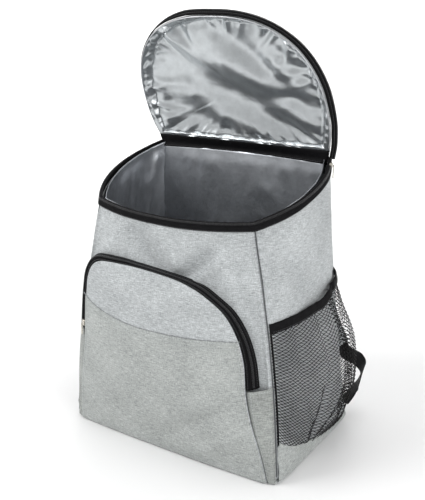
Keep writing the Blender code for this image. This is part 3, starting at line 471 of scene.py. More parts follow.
def ramp(tree, value, stops, socket):
    """Feeds a socket from a value, through colours or greys at the given places."""
    made = node(tree, "ShaderNodeValToRGB")
    elements = made.color_ramp.elements
    while len(elements) < len(stops):
        elements.new(0.5)
    for element, (place, colour) in zip(elements, stops):
        element.position = place
        element.color = (*((colour,) * 3 if isinstance(colour, float) else colour), 1.0)
    tree.links.new(value, made.inputs["Fac"])
    tree.links.new(made.outputs["Color"], socket)


def bump(tree, shader, height, distance, strength):
    made = node(tree, "ShaderNodeBump", Strength=strength, Distance=distance)
    tree.links.new(height, made.inputs["Height"])
    tree.links.new(made.outputs["Normal"], shader.inputs["Normal"])


def tinted(colour, by):
    return tuple(np.multiply(colour, by))


CLOTH_TONES = ((0.375, (0.225, 0.236, 0.243)), (0.50, (0.44, 0.461, 0.468)), (0.625, (0.71, 0.74, 0.75)))


def heather(name, tint=1.0, space="UV"):
    """Melange canvas: light and dark slubs along both threads, with a fine weave."""
    made, tree, shader, space = new_material(name, space, {
        "Roughness": 0.88, "Sheen Weight": 0.1, "Sheen Roughness": 0.5, "Specular IOR Level": 0.25})
    weft = grain(tree, space, (110.0, 880.0, 640.0), 3.0, 0.7)
    warp = grain(tree, space, (1000.0, 160.0, 640.0), 3.0, 0.7)
    fine = grain(tree, space, 700.0)
    broad = grain(tree, space, (16.0, 22.0, 16.0), 2.0, 0.5)
    threads = weighted(tree, (weft, 0.46), (warp, 0.30), (fine, 0.24))
    stops = [(place, tinted(colour, tint)) for place, colour in CLOTH_TONES]
    ramp(tree, weighted(tree, (threads, 0.88), (broad, 0.12)), stops, shader.inputs["Base Color"])
    bump(tree, shader, threads, 0.0009, 0.55)
    return made


def tape(name, colour=(0.0072, 0.0070, 0.0078), rib=900.0, rough=0.62):
    """Black woven tape with ribs along its length."""
    made, tree, shader, space = new_material(name, "UV", {"Roughness": rough, "Specular IOR Level": 0.07})
    ribs = grain(tree, space, (rib, rib * 0.16, rib))
    weave = grain(tree, space, (rib * 0.3, rib * 1.3, rib), 1.0, 0.5)
    height = weighted(tree, (ribs, 0.6), (weave, 0.4))
    stops = ((0.3, tinted(colour, 0.5)), (0.55, colour), (0.75, tinted(colour, 2.4)))
    ramp(tree, height, stops, shader.inputs["Base Color"])
    bump(tree, shader, height, 0.0006, 0.6)
    return made


def foil(name, colour=(0.595, 0.625, 0.64), rough=0.36, crinkle=0.15):
    """Creased silver foil laminate."""
    made, tree, shader, space = new_material(name, "Object", {"Metallic": 0.94})
    small = grain(tree, space, 95.0, 3.0, 0.62)
    fine = grain(tree, space, 700.0)
    ramp(tree, small, ((0.3, tinted(colour, 0.86)), (0.7, colour)), shader.inputs["Base Color"])
    ramp(tree, fine, ((0.3, rough - 0.04), (0.7, rough + 0.06)), shader.inputs["Roughness"])
    bump(tree, shader, weighted(tree, (small, 0.85), (fine, 0.15)), 0.0012, crinkle)
    return made


def metal(name):
    made, tree, shader, space = new_material(name, "Object", {"Metallic": 1.0})
    worn = grain(tree, space, 900.0, 3.0)
    ramp(tree, worn, ((0.3, (0.46, 0.43, 0.37)), (0.7, (0.74, 0.71, 0.63))), shader.inputs["Base Color"])
    ramp(tree, worn, ((0.35, 0.14), (0.7, 0.3)), shader.inputs["Roughness"])
    return made


def thread(name, colour, rough=0.6, gloss=0.5):
    made, tree, shader, space = new_material(name, "Object", {
        "Roughness": rough, "Specular IOR Level": gloss, "Sheen Weight": 0.4 * gloss})
    stops = ((0.35, tinted(colour, 0.6)), (0.65, tinted(colour, 1.25)))
    ramp(tree, grain(tree, space, 2600.0, 1.0, 0.5), stops, shader.inputs["Base Color"])
    return made


def pale_floor(name):
    made, tree, shader, space = new_material(name, "Object", {"Roughness": 0.55})
    ramp(tree, grain(tree, space, 3.0, 2.0, 0.5), ((0.3, 0.86), (0.7, 0.89)), shader.inputs["Base Color"])
    return made


FINISH = {
    "cloth": heather("heather_cloth"),
    "warm_cloth": heather("heather_cloth_warm", (0.87, 0.87, 0.835)),
    # Gusset cloth: a warmer tone of its own, made darker still with painted shade of the valley beside the
    # pocket
    "toned_and_shaded_cloth": heather("heather_cloth_toned_and_shaded", (0.72, 0.72, 0.68)),
    # Painted shadow: near-black strips along the corner seams stand in for the shade in the seams' valleys
    "seam": heather("seam_shadow_line", (0.2, 0.2, 0.205)),
    # Painted shadow: a grey strip at the slip pocket's edge stands in for the shade in the gap between the
    # pocket's layers
    "gap_shadow": heather("slip_gap_shadow", 0.6),
    "cad_cloth": heather("heather_cloth_plain", (0.9, 0.9, 0.88), "Object"),
    "tape": tape("black_tape"),
    "webbing": tape("black_webbing", (0.0066, 0.0066, 0.0072), 1100.0, 0.55),
    "coil": thread("zip_coil", (0.012, 0.012, 0.014), 0.42),
    "foil": foil("silver_foil"),
    "liner": foil("silver_foil_liner", (0.52, 0.54, 0.57), 0.38, 0.3),
    "piping": foil("silver_piping", (0.60, 0.61, 0.63), 0.45),
    "metal": metal("nickel"),
    "net": thread("net_cord", (0.006, 0.0056, 0.0056), 0.6, 0.1),
    "grey_thread": thread("grey_thread", (0.50, 0.53, 0.53)),
    "black_thread": thread("black_thread", (0.03, 0.03, 0.032)),
    "silver_thread": thread("silver_thread", (0.34, 0.35, 0.37)),
    "floor": pale_floor("studio_white"),
}
# The finishes that show each material slot of the part
SLOTS = {
    "heather_cloth": ("cloth", "warm_cloth", "toned_and_shaded_cloth", "seam", "gap_shadow", "grey_thread"),
    "black_tape": ("tape", "webbing", "coil", "black_thread"),
    "foil": ("foil", "liner", "piping", "silver_thread"),
    "net": ("net",),
}
SLOT_OF = {finish: slot for slot, finishes in SLOTS.items() for finish in finishes}


# Camera, floor and light

# The camera, solved from the photo: focal length in pixels, angles in radians and place in metres
CAMERA_FOCAL = 776.600937
CAMERA_PITCH = 0.301388452
CAMERA_TURN = 0.580665931
CAMERA_PLACE = (0.545436494, -0.829364788, 0.555644375)
PHOTO_HEIGHT = 500.0
SENSOR_WIDTH = 36.0
CAMERA_RIGHT = np.array((math.cos(CAMERA_TURN), math.sin(CAMERA_TURN), 0.0))
CAMERA_AHEAD = np.array((-math.sin(CAMERA_TURN), math.cos(CAMERA_TURN), 0.0))

# Studio sheet, measured from the bag away from the camera: its ends, the curve's radius, its top, half width
STUDIO_FRONT = -14.0
STUDIO_BACK = 2.2
STUDIO_ROUND = 1.3
STUDIO_TOP = 5.0
STUDIO_HALF_WIDTH = 12.0

# Columns: name, place, target, size, power
LIGHTS = (
    ("key", (-1.4, -1.35, 1.75), (0.0, 0.0, 0.2), (1.3, 1.0), 32.0),
    ("fill", (1.9, -0.75, 1.0), (0.0, 0.0, 0.2), (1.2, 1.2), 18.0),
    ("top", (0.1, 0.35, 2.3), (0.0, 0.0, 0.2), (1.5, 1.5), 17.0),
    ("wall", (-1.1, 1.67, 2.0), (-1.9, 2.9, 0.4), (3.0, 0.8), 60.0),
)


def make_camera():
    lens = bpy.data.cameras.new("camera")
    lens.sensor_width = SENSOR_WIDTH
    lens.lens = CAMERA_FOCAL / PHOTO_HEIGHT * SENSOR_WIDTH
    lens.clip_start = 0.02
    lens.clip_end = 60.0
    right = Vector(CAMERA_RIGHT)
    back = Vector(UP * math.sin(CAMERA_PITCH) - CAMERA_AHEAD * math.cos(CAMERA_PITCH))
    place = Matrix((right, back.cross(right), back)).transposed().to_4x4()
    place.translation = Vector(CAMERA_PLACE)
    thing = add_object("camera", lens)
    thing.matrix_world = place
    bpy.context.scene.camera = thing


def area_light(name, place, target, size, power):
    data = bpy.data.lights.new(name, "AREA")
    data.shape = "RECTANGLE"
    data.size, data.size_y = size
    data.energy = power
    thing = add_object(name, data)
    thing.location = place
    thing.rotation_euler = (Vector(target) - Vector(place)).to_track_quat("-Z", "Y").to_euler()


def make_studio():
    """Pale floor that curves up into a wall, in one sheet, with soft lights."""
    profile = [(STUDIO_FRONT, 0.0), (STUDIO_BACK, 0.0)]
    for angle in np.linspace(0.0, math.pi / 2, 17)[1:]:
        profile.append((STUDIO_BACK + STUDIO_ROUND * math.sin(angle), STUDIO_ROUND * (1 - math.cos(angle))))
    profile.append((STUDIO_BACK + STUDIO_ROUND, STUDIO_TOP))
    grid = np.array([[CAMERA_AHEAD * y + CAMERA_RIGHT * x + UP * (z - 0.0002)
                      for x in (-STUDIO_HALF_WIDTH, STUDIO_HALF_WIDTH)] for y, z in profile])
    grid_piece("floor", grid, "floor", grid[:, :, :2])
    world = bpy.data.worlds.new("studio")
    world.use_nodes = True
    background = world.node_tree.nodes["Background"]
    background.inputs["Color"].default_value = (1.0, 1.0, 1.0, 1.0)
    background.inputs["Strength"].default_value = 0.52
    bpy.context.scene.world = world
    bpy.context.scene.view_settings.view_transform = "Standard"
    for light in LIGHTS:
        area_light(*light)


# Body surface

def base_corner(k):
    x = BASE_WIDTH / 2 - CORNER_INSET
    y = BASE_DEPTH / 2 - CORNER_INSET
    return np.array(((-x, -y), (x, -y), (x, y), (-x, y)))[k % 4]


def mouth_corner(k):
    front = MOUTH_WIDTH / 2
    back = HINGE_WIDTH / 2
    return np.array(((-front, -MOUTH_FRONT_REACH), (front, -MOUTH_FRONT_REACH),
                     (back, HINGE_REACH), (-back, HINGE_REACH)))[k % 4]


def seam_xy(k, height):
    closed = np.where(np.isin(k % 4, (2, 3)), curve(BACK_SEAM, height), curve(FRONT_SEAM, height))
    low = base_corner(k)
    return low + (mouth_corner(k) - low) * closed[..., None]


def rim_height(y):
    front = -MOUTH_FRONT_REACH - FRONT_BOW
    return HINGE_HEIGHT - (HINGE_REACH - y) * (HINGE_HEIGHT - MOUTH_FRONT_HEIGHT) / (HINGE_REACH - front)


def panel_bow(panel, height, share):
    at_mouth = np.array((FRONT_BOW, SIDE_BOW, BACK_BOW, SIDE_BOW))[panel]
    belly = np.array((FRONT_BELLY, SIDE_BELLY, 0.0, SIDE_BELLY))[panel]
    growth = curve(BOW_CURVE, height)
    across = np.abs(2 * share - 1)
    square = BASE_SQUARENESS + (MOUTH_SQUARENESS - BASE_SQUARENESS) * growth
    bow = (BASE_BOW + (at_mouth - BASE_BOW) * growth) * (1 - across ** square)
    return bow + belly * np.sin(math.pi * np.clip(height, 0, 1)) * (1 - across ** 2)


def dent(place, height):
    depth = np.zeros(np.broadcast(place, height).shape)
    for centre, level, long_share, short_share, angle, share in DENTS:
        span = DENT_FRONT_SPAN if int(centre) in (0, 2) else DENT_SIDE_SPAN
        along = ((place - centre + 2) % 4 - 2) * span
        up = (height - level) * HINGE_HEIGHT
        lean = math.radians(angle)
        a = (along * math.cos(lean) + up * math.sin(lean)) / (long_share * BASE_WIDTH)
        b = (up * math.cos(lean) - along * math.sin(lean)) / (short_share * BASE_WIDTH)
        depth = depth + share * DENT_DEPTH * np.exp(-2.0 * (a * a + b * b))
    return depth


def wall_point(start, end, share, stand):
    """Places on the line between two corners, moved out of the wall."""
    return start + (end - start) * share[..., None] + right_of(end - start) * stand[..., None]


def body(place, height):
    """Points on the part's outer cloth, for arrays of place round the panels and height share."""
    place, height = np.broadcast_arrays(np.asarray(place, float) % 4, np.asarray(height, float))
    panel = np.minimum(place.astype(int), 3)
    share = place - panel
    inner = np.clip(height, 0.0, 1.0)
    stand = panel_bow(panel, height, share) - dent(place, height)
    flat = wall_point(seam_xy(panel, inner), seam_xy(panel + 1, inner), share, stand)
    bow = panel_bow(panel, np.ones_like(height), share)
    top = wall_point(mouth_corner(panel), mouth_corner(panel + 1), share, bow)
    z = FLOOR + (rim_height(top[..., 1]) - FLOOR) * height
    return np.concatenate([flat, z[..., None]], -1)


def outward(place, height):
    along = body(np.asarray(place) + 0.02, height) - body(np.asarray(place) - 0.02, height)
    return np.concatenate([right_of(along), np.zeros_like(along[..., :1])], -1)


def on_body(place, height, stand):
    return body(place, height) + outward(place, height) * np.asarray(stand)[..., None]


def height_share(place, z):
    return (np.asarray(z, float) - FLOOR) / (body(place, 1.0)[..., 2] - FLOOR)


def front_y(x, z):
    """Depth y of the front cloth at x and z."""
    x, z = np.broadcast_arrays(np.asarray(x, float), np.asarray(z, float))
    place = np.full(x.shape, 0.5)
    height = place
    for _ in range(6):
        height = height_share(place, z)
        half = np.abs(body(0.0, height)[..., 0])
        place = np.clip(0.5 + 0.5 * x / half, 0.0, 0.99999)
    return body(place, height)[..., 1]


make_camera()
make_studio()

# Height of the round-over at the foot of the walls
FOOT_ROUND = 0.007
# How far the cloth's foot reaches down past the walls' start, to just above the ground
FOOT_DROP = FLOOR - 0.0006
# Folds of each wall. Columns: start and end across and up as shares of the wall, half width, height
PANEL_FOLDS = [
    ((0.617, 0.795, 0.735, 0.87, 0.009, -0.0030), (0.72, 0.82, 0.82, 0.87, 0.009, 0.0010),
     (0.27, 0.95, 0.40, 0.84, 0.010, -0.0016), (0.50, 0.93, 0.62, 0.80, 0.012, 0.0012),
     (0.10, 0.80, 0.22, 0.93, 0.012, 0.0010), (0.84, 0.93, 0.92, 0.74, 0.009, -0.0010)),
    ((0.12, 0.94, 0.30, 0.72, 0.012, -0.0014), (0.30, 0.80, 0.75, 0.66, 0.014, 0.0012),
     (0.55, 0.95, 0.80, 0.80, 0.012, -0.0010), (0.75, 0.72, 0.97, 0.60, 0.010, -0.0014)),
    ((0.15, 0.2, 0.35, 0.5, 0.02, 0.0012), (0.6, 0.7, 0.85, 0.45, 0.02, -0.0012)),
]
PANEL_FOLDS.append(tuple((1 - a, b, 1 - c, d, w, h) for a, b, c, d, w, h in PANEL_FOLDS[1]))
FOLD_GAIN = (3.4, 2.1, 2.1, 2.1)
# The deepest that a fold presses into the padding
FOLD_ROOM = WALL + 0.0006
SEAM_RIDGE = (0.0024, 0.0004, 0.0010, 0.0004)
PANEL_TUCK = 0.0025

# Walls in the order of their panels. Columns: piece, grid columns and rows, node
WALLS = (
    ("front_cloth", 168, 186, "front_panel"), ("side_cloth_right", 120, 160, "side_panel_right"),
    ("back_cloth", 110, 120, "back_panel"), ("side_cloth_left", 120, 160, "side_panel_left"),
)


def panel_cloth(panel, name, columns, rows, node_name):
    """Outer cloth of one wall, with folds, seam valleys, a rounded foot and tucked edges."""
    turn = np.linspace(0.0, math.pi, columns)
    share = 0.5 - 0.5 * np.cos(turn) * (1 - 0.35 * np.sin(turn) ** 2)
    share, height = np.meshgrid(share, np.linspace(0.0, 1.0, rows))
    grid = body(panel + np.clip(share, 0.0, 0.99999), height)
    normals = grid_normals(grid)
    width = np.linalg.norm(grid[:, -1] - grid[:, 0], axis=-1)[:, None]
    tall = grid[-1, :, 2][None]
    u, v = share * width, height * tall
    edge = np.minimum(share, 1 - share) * width
    near = (1 - height) * tall
    scale = np.array((width.mean(), tall.mean()) * 2 + (1.0, 1.0))
    lift = FOLD_GAIN[panel] * fold(share * scale[0], height * scale[1], np.array(PANEL_FOLDS[panel]) * scale)
    lift += 0.0007 * noise(u / 0.045, v / 0.05, 3 + panel) + 0.0004 * noise(u / 0.018, v / 0.02, 9 + panel)
    lift *= smooth_step(0.0, 0.02, edge) * smooth_step(0.0, 0.02, near)
    lift = np.where(lift < 0, FOLD_ROOM * np.tanh(lift / FOLD_ROOM), lift)
    lift += SEAM_RIDGE[panel] * hump(edge, 0.0034, 0.0017) * smooth_step(0.002, 0.018, near)
    lift += 0.0005 - 0.0018 * hump(edge, 0.0, 0.0012) - 0.0012 * hump(near, 0.0, 0.0012)
    grid = grid + normals * lift[..., None]
    foot = grid[:, :, 2]
    round_it = np.clip(1 - (foot - FLOOR) / FOOT_ROUND, 0.0, 1.0)
    grid = grid - normals * (FOOT_ROUND * 0.6 * (1 - np.sqrt(1 - round_it ** 2 * 0.92)))[..., None]
    grid[:, :, 2] -= FOOT_DROP * smooth_step(0.6, 1.0, 1 - foot / (FLOOR + 2.2 * FOOT_ROUND))
    tuck = normals * PANEL_TUCK
    grid = np.concatenate([grid[:, :1] - tuck[:, :1], grid, grid[:, -1:] - tuck[:, -1:]], 1)
    grid = np.concatenate([grid, grid[-1:] - grown(tuck[-1:], (0, 0), (1, 1))])
    uv = grown(np.stack([u + panel * 0.4, v], -1), (0, 1), (1, 1))
    grid_piece(name, grid, "cloth", uv, node_name)
    return grid, grid_normals(grid)


walls = [panel_cloth(panel, *wall) for panel, wall in enumerate(WALLS)]


def make_seam_shadows():
    """Dark strips beside the folded edge of the front and back: painted shadow in the valley of each corner
    seam.
    """
    height = np.linspace(0.015, 0.995, 140)
    places = {"right_front": 1.004, "right_back": 1.996, "left_back": 3.004, "left_front": 3.996}
    for name, place in places.items():
        spine = body(place, height)
        out = outward(np.full_like(height, place), height)
        side = unit(np.cross(out, np.gradient(spine, axis=0)))
        rings = [spine + out * (0.0001 + 0.0004 * math.sin(angle)) + side * 0.0006 * math.cos(angle)
                 for angle in round_angles(6)]
        sweep_piece("seam_shadow_line_" + name, np.stack(rings, 1), "seam")


make_seam_shadows()

# Topstitch below the mouth. Columns: panel, share of its height
for panel, level in ((0, 0.981), (1, 0.981), (3, 0.981), (2, 0.975)):
    wall, normals = walls[panel]
    row = int(len(wall) * level)
    stitch("grey_thread", wall[row, 3:-3], normals[row, 3:-3])


# Front pocket

def arch(count):
    return spline(np.array(POCKET_OUTLINE) * (POCKET_HALF_WIDTH, POCKET_TOP), count)


def path_out(path):
    return -right_of(np.gradient(path, axis=0))


def stand_at(z):
    return POCKET_DEPTH * curve(POCKET_STANDOFF, z / POCKET_TOP)


def drawn_down(z):
    """Height of cloth that is drawn down to the ground at its foot."""
    return z - 0.0066 * smooth_step(0.05, 0.006, z)


def face_share(x, z):
    across = np.abs(x) / (POCKET_HALF_WIDTH * curve(POCKET_SIDE, z / POCKET_TOP))
    up = np.abs(z / POCKET_TOP - 0.5) / 0.5
    return np.minimum((across ** 4 + up ** 4) ** 0.25, 1.0)


# Folds of the pocket's face. Columns: start and end across and up, half width, height
FACE_FOLDS = (
    (-0.105, 0.226, -0.02, 0.236, 0.012, 0.0012), (-0.10, 0.20, 0.03, 0.222, 0.018, 0.0012),
    (0.055, 0.20, 0.10, 0.165, 0.014, -0.0012), (-0.02, 0.15, 0.07, 0.13, 0.020, 0.0010),
    (-0.11, 0.12, -0.03, 0.09, 0.024, -0.0010), (0.014, 0.036, 0.100, 0.094, 0.011, -0.0052),
    (0.060, 0.024, 0.116, 0.056, 0.010, 0.0036), (-0.13, 0.05, -0.05, 0.035, 0.014, 0.0010),
)


def face_points(x, z, extra):
    """Points of the pocket's cloth: the part's face with soft folds, drawn down to the foot."""
    share = face_share(x, z)
    soft = fold(x, z, FACE_FOLDS) + 0.0008 * noise(x / 0.05 + 5, z / 0.045, 21)
    soft = soft + 0.0004 * noise(x / 0.019, z / 0.021, 22)
    lift = POCKET_CROWN * (1 - share ** 2) + extra + soft * smooth_step(0.0, 0.25, 1 - share)
    y = front_y(x, z) - stand_at(z) - lift
    return np.stack([np.broadcast_to(x, y.shape), y, drawn_down(z)], -1)


def ring_of(path, count):
    """The path closed to a ring, evenly spaced."""
    return resample(np.vstack([path, path[:1]]), count)[:-1]


def face_cloth(name, finish, outline, middle, extra, size, rings, tuck, node_name):
    """Cloth in rings from the middle to the outline, then a tucked edge."""
    shares = np.linspace(0.0, 1.0, rings) ** 0.8
    spots = middle + (outline[None] - middle) * (shares * size)[:, None, None]
    grid = face_points(spots[..., 0], spots[..., 1], extra)
    normals = faced(grid_normals(grid, True), rings // 2, 0)
    edge = (1 - shares)[:, None] * 0.12
    grid = grid - normals * (0.0007 * hump(edge, 0.0, 0.0014))[..., None]
    grid = np.concatenate([grid, grid[-1:] - normals[-1:] * tuck])
    grid_piece(name, grid, finish, grown(spots, (0, 1)), node_name, closed=True, flip=True)


def slip_edge(x):
    return SLIP_HEIGHT + SLIP_RISE * curve(SLIP_CURVE, x / POCKET_HALF_WIDTH)


outline = ring_of(arch(400), 320)
face_cloth("pocket_cloth", "cloth", outline, (0.0, POCKET_CENTRE), CLOTH, 0.999, 60, 0.003, "pocket_face")
cut = outline.copy()
cut[:, 1] = np.minimum(cut[:, 1], slip_edge(cut[:, 0]))
cut = ring_of(cut, 340)
slip_middle = (0.0, (cut[:, 1].min() + SLIP_HEIGHT) / 2)
face_cloth("slip_pocket_cloth", "warm_cloth", cut, slip_middle, CLOTH + 0.0016, 0.9985, 64, 0.0016,
           "slip_pocket")

# Where the dark strip of painted shadow at the slip pocket's edge and the rows of stitches start and end across
GAP_SHADOW_SPAN = (-0.1258, 0.1180)
EDGE_STITCH_SPAN = (-0.118, 0.1165)
FOOT_STITCH_SPAN = (-0.135, 0.138)
# Section of the painted-shadow strip: rise above the edge, how far it stands out of the cloth
GAP_SHADOW_SECTION = ((-0.0003, 0.0008), (0.0, 0.0013), (0.0004, 0.0009), (0.0006, 0.0002))


def face_stitch(x, z):
    """Stitches along a line on the slip pocket's cloth."""
    step = 0.001
    here, right, above = (face_points(x + dx, z + dz, CLOTH + 0.0019)
                          for dx, dz in ((0.0, 0.0), (step, 0.0), (0.0, step)))
    out = unit(np.cross(right - here, above - here))
    stitch("grey_thread", here, np.where(out[:, 1:2] > 0, -out, out))


def slip_trims():
    """Grey strip along the slip pocket's edge, painted shadow of the gap between the pocket's layers, and the
    stitches round the pocket.
    """
    x = np.linspace(*GAP_SHADOW_SPAN, 240)
    gap_shadow = np.stack([face_points(x, slip_edge(x) + rise, CLOTH + stand) for rise, stand in GAP_SHADOW_SECTION])
    grid_piece("slip_pocket_gap_shadow", gap_shadow, "gap_shadow", gap_shadow[..., ::2])
    x = np.linspace(*EDGE_STITCH_SPAN, 160)
    for drop in (0.0022, 0.0085):
        face_stitch(x, slip_edge(x) - drop)
    x = np.linspace(*FOOT_STITCH_SPAN, 160)
    face_stitch(x, np.full_like(x, 0.0165))
    for sign in (-1, 1):
        path = arch(400)
        path = path[(path[:, 0] * sign > 0) & (path[:, 1] < slip_edge(path[:, 0]) - 0.004)]
        path = path - path_out(path) * 0.004
        face_stitch(path[:, 0], path[:, 1])


slip_trims()


# Zip band of the pocket and the gussets below its ends

# Ribs across the zip band: place from its front edge to its foot, half width, height
BAND_RIBS = ((0.0, 0.03, -0.0014), (0.10, 0.05, 0.0009), (0.22, 0.035, -0.0006), (0.31, 0.05, 0.0010),
             (0.42, 0.03, -0.0005), (0.52, 0.055, 0.0013), (0.62, 0.03, -0.0005), (0.73, 0.05, 0.0010),
             (0.84, 0.04, -0.0004), (0.93, 0.05, 0.0008))

# How far the band's foot stands off the front, and the rise of a gusset's upper end
FOOT_STAND = 0.0014
GUSSET_RISE = 0.0055


def band_foot(path, out):
    """Foot of the zip band along the arch."""
    right = smooth_step(-0.04, 0.04, path[:, 0])
    high = path[:, 1] / POCKET_TOP
    flare = (POCKET_FLARE_LEFT * curve(SPREAD_LEFT, high) * (1 - right)
             + POCKET_FLARE_RIGHT * curve(SPREAD_RIGHT, high) * right + 0.0006)
    flare = flare * (1 - 0.88 * np.exp(-((path[:, 0] - 0.003) / 0.053) ** 4))
    return path + out * flare[:, None]


def pocket_side(path, foot, out, count, relief):
    """Cloth from the pocket's front edge to its foot. relief gives the rise and the ridge of each row."""
    gap = np.linalg.norm(foot - path, axis=1)
    rows = []
    for share in np.linspace(0.0, 1.0, count):
        rise, ridge = relief(share)
        spot = path + (foot - path) * share + out * (BAND_SWELL * gap * 4 * share * (1 - share))[:, None]
        x, z = spot[:, 0], spot[:, 1] + rise
        stand = stand_at(path[:, 1]) * (1 - share) + FOOT_STAND * share + ridge
        rows.append(np.stack([x, front_y(x, z) - stand, z], -1))
    return np.stack(rows, 1)


def tucked(grid):
    """The same grid with a column behind its first and its last one."""
    return np.concatenate([grid[:, :1] + BACKWARD * 0.004, grid, grid[:, -1:] + BACKWARD * 0.002], 1)


def make_zip_band():
    """Ribbed zip tape round the pocket, its coil and two rows of stitches."""
    fine = arch(1200)
    keep = np.where(fine[:, 0] < 0, fine[:, 1] >= ZIP_END_LEFT, fine[:, 1] >= ZIP_END_RIGHT)
    path = resample(fine[keep], 260)
    out = path_out(path)

    def relief(share):
        return 0.0, 0.0004 + sum(tall * hump(share, at, wide) for at, wide, tall in BAND_RIBS)

    grid = tucked(pocket_side(path, band_foot(path, out), out, 41, relief))
    grid[[0, -1]] += BACKWARD * 0.003
    uv = np.stack(np.meshgrid(np.linspace(0, 0.02, grid.shape[1]), lengths_of(grid[:, 8])), -1)
    grid_piece("pocket_zip_tape", grid, "tape", uv, "pocket_zip")
    normals = faced(grid_normals(grid), len(grid) // 2, 22)
    teeth("pocket_zip_coil", grid[2:-2, 22], normals[2:-2, 22], 0.0036, 0.0002)
    for column in (6, 34):
        stitch("black_thread", grid[2:-2, column], normals[2:-2, column], FINE_PITCH)


make_zip_band()


def make_gusset(suffix, sign, low_end):
    """Cloth between the pocket's face and the corner seam, below the end of the zip."""
    fine = arch(1200)
    path = resample(fine[(fine[:, 0] * sign > 0) & (fine[:, 1] <= low_end)], 90)
    high = path[:, 1]
    place = 0.9985 if sign > 0 else 0.0015
    foot = np.stack([body(place, height_share(place, high))[:, 0], high], -1)

    def relief(share):
        bulge = 4 * share * (1 - share)
        ridge = 0.0006 + 0.0007 * hump(share, 0.94, 0.03) - 0.0016 * hump(share, 0.0, 0.05)
        return (GUSSET_RISE * share * hump(high, low_end, 0.016),
                ridge + 0.0022 * hump(high, 0.012 + share * 0.022, 0.006) * bulge)

    grid = pocket_side(path, foot, path_out(path), 30, relief)
    grid[..., 2] = drawn_down(grid[..., 2])
    grid = tucked(grid)
    tuck = 0 if grid[0, 5, 2] > grid[-1, 5, 2] else -1
    extra = (grid[tuck] + BACKWARD * 0.003 - UP * 0.001)[None]
    grid = np.concatenate([extra, grid] if tuck == 0 else [grid, extra])
    # Painted shade: the gusset cloth is darkened for the valley beside the pocket, on top of its own warmer
    # tone
    grid_piece("gusset_cloth_" + suffix, grid, "toned_and_shaded_cloth", grid[..., ::2], "pocket_gusset_" + suffix)
    normals = faced(grid_normals(grid), 40, 10)
    row = 3 if tuck == 0 else -4
    stitch("grey_thread", grid[row, 3:-3], normals[row, 3:-3])
    stitch("grey_thread", grid[4:-4, 4], normals[4:-4, 4])


make_gusset("left", -1, ZIP_END_LEFT - 0.0008)
make_gusset("right", 1, ZIP_END_RIGHT - 0.0008)


# Mouth: zip tape, its coil and the liner

# Section of the mouth's tape: how far into the bag and up
MOUTH_SECTION = (
    (0.0002, -0.0034), (-0.0016, -0.0032), (-0.0020, -0.0022), (-0.0019, 0.0014), (-0.0013, 0.0022),
    (-0.0019, 0.0034), (-0.0022, 0.0052), (-0.0014, 0.0068), (0.0002, 0.0078), (0.0020, 0.0078),
    (0.0026, 0.0066), (0.0024, 0.0030), (0.0024, -0.0034),
)
COIL_WIDTH = 0.0026
COIL_LIFT = 0.0001


def mouth_up(place):
    return unit(body(place, 1.0) - body(place, 0.97))


def make_mouth():
    """Zip tape round the mouth, its coil and a row of stitches."""
    place = np.linspace(1.985, -0.985, 300)
    foot, up, side = body(place, 1.0), mouth_up(place), outward(place, 1.0)
    wave = 0.0003 * noise(place * 9, place * 0, 31)
    sections = np.stack([foot - side * (inset + wave)[:, None] + up * rise
                         for inset, rise in MOUTH_SECTION], 1)
    sweep_piece("mouth_zip_tape", sections, "tape", "mouth_zip")
    coil = sections[:, 6] * 0.5 + sections[:, 7] * 0.5
    teeth("mouth_zip_coil", coil, unit(side + up * 0.35), COIL_WIDTH, COIL_LIFT)
    stitch("black_thread", sections[:, 2], side, FINE_PITCH)


make_mouth()


def make_liner():
    """Foil cup with creases, a crumpled floor, and an edge that stands up inside the zip."""
    columns, rows, floor_rings = 340, 96, 24
    place = np.arange(columns) / columns * 4
    height = np.linspace(0.0, 1.0, rows)[:, None]
    outer = body(place[None], height)
    grid = outer - grid_normals(outer, True) * (WALL + 0.0019)
    grid[..., 2] = outer[..., 2]
    u, v = np.broadcast_arrays(place[None] * 0.25, height * 0.36)
    crease = creases(u / 0.05, v / 0.07, 41) * 0.0016 + noise(u / 0.018, v / 0.05, 47) * 0.0006
    soft = (0.0012 + crease) * smooth_step(0.0, 0.05, 1 - height) * smooth_step(0.0, 0.03, height)
    soft = soft + 0.0006 * noise(place * 22, place * 0, 48) * smooth_step(0.80, 1.0, height)
    grid = grid - grid_normals(grid, True) * np.clip(soft, -0.0002, None)[..., None]
    behind = smooth_step(1.98, 2.02, place) * smooth_step(3.02, 2.98, place)
    rise = mouth_up(place) * (LINER_RISE * (1 - behind))[:, None]
    rim = [grid[-1] + rise * share for share in (0.35, 0.7, 1.0)]
    lip = rim[-1] + outward(place, np.ones_like(place)) * 0.0010 + UP * 0.0003
    grid = np.concatenate([grid, rim, [lip, lip - UP * 0.0012]])
    floor = FLOOR + 0.0022
    rings = []
    for share in np.linspace(0.0, 0.98, floor_rings):
        ring = grid[0] * np.array((share, share, 0.0))
        crumple = 1 + creases(ring[:, 0] / 0.06, ring[:, 1] / 0.06, 51)
        ring[:, 2] = floor + 0.0012 * crumple * (1 - share ** 6)
        rings.append(ring)
    grid[0, :, 2] = floor
    tall = np.concatenate([np.linspace(-0.1, 0, floor_rings), height[:, 0] * 0.36,
                           [0.362, 0.364, 0.366, 0.367, 0.368]])
    uv = np.stack(np.meshgrid(np.linspace(0, 1.0, columns + 1), tall), -1)
    grid_piece("liner_foil", np.concatenate([rings, grid]), "liner", uv, "liner", closed=True, flip=True)


make_liner()


# Lid

LID_ORIGIN = np.array((0.0, HINGE_REACH, HINGE_HEIGHT + 0.0003))
LID_ALONG = np.array((0.0, -math.sin(LID_LEAN), math.cos(LID_LEAN)))
LID_FACING = np.array((0.0, -math.cos(LID_LEAN), -math.sin(LID_LEAN)))


def lid_place(x, v, n):
    x, v, n = np.broadcast_arrays(x, v, n)
    return LID_ORIGIN + x[..., None] * RIGHT + v[..., None] * LID_ALONG + n[..., None] * LID_FACING


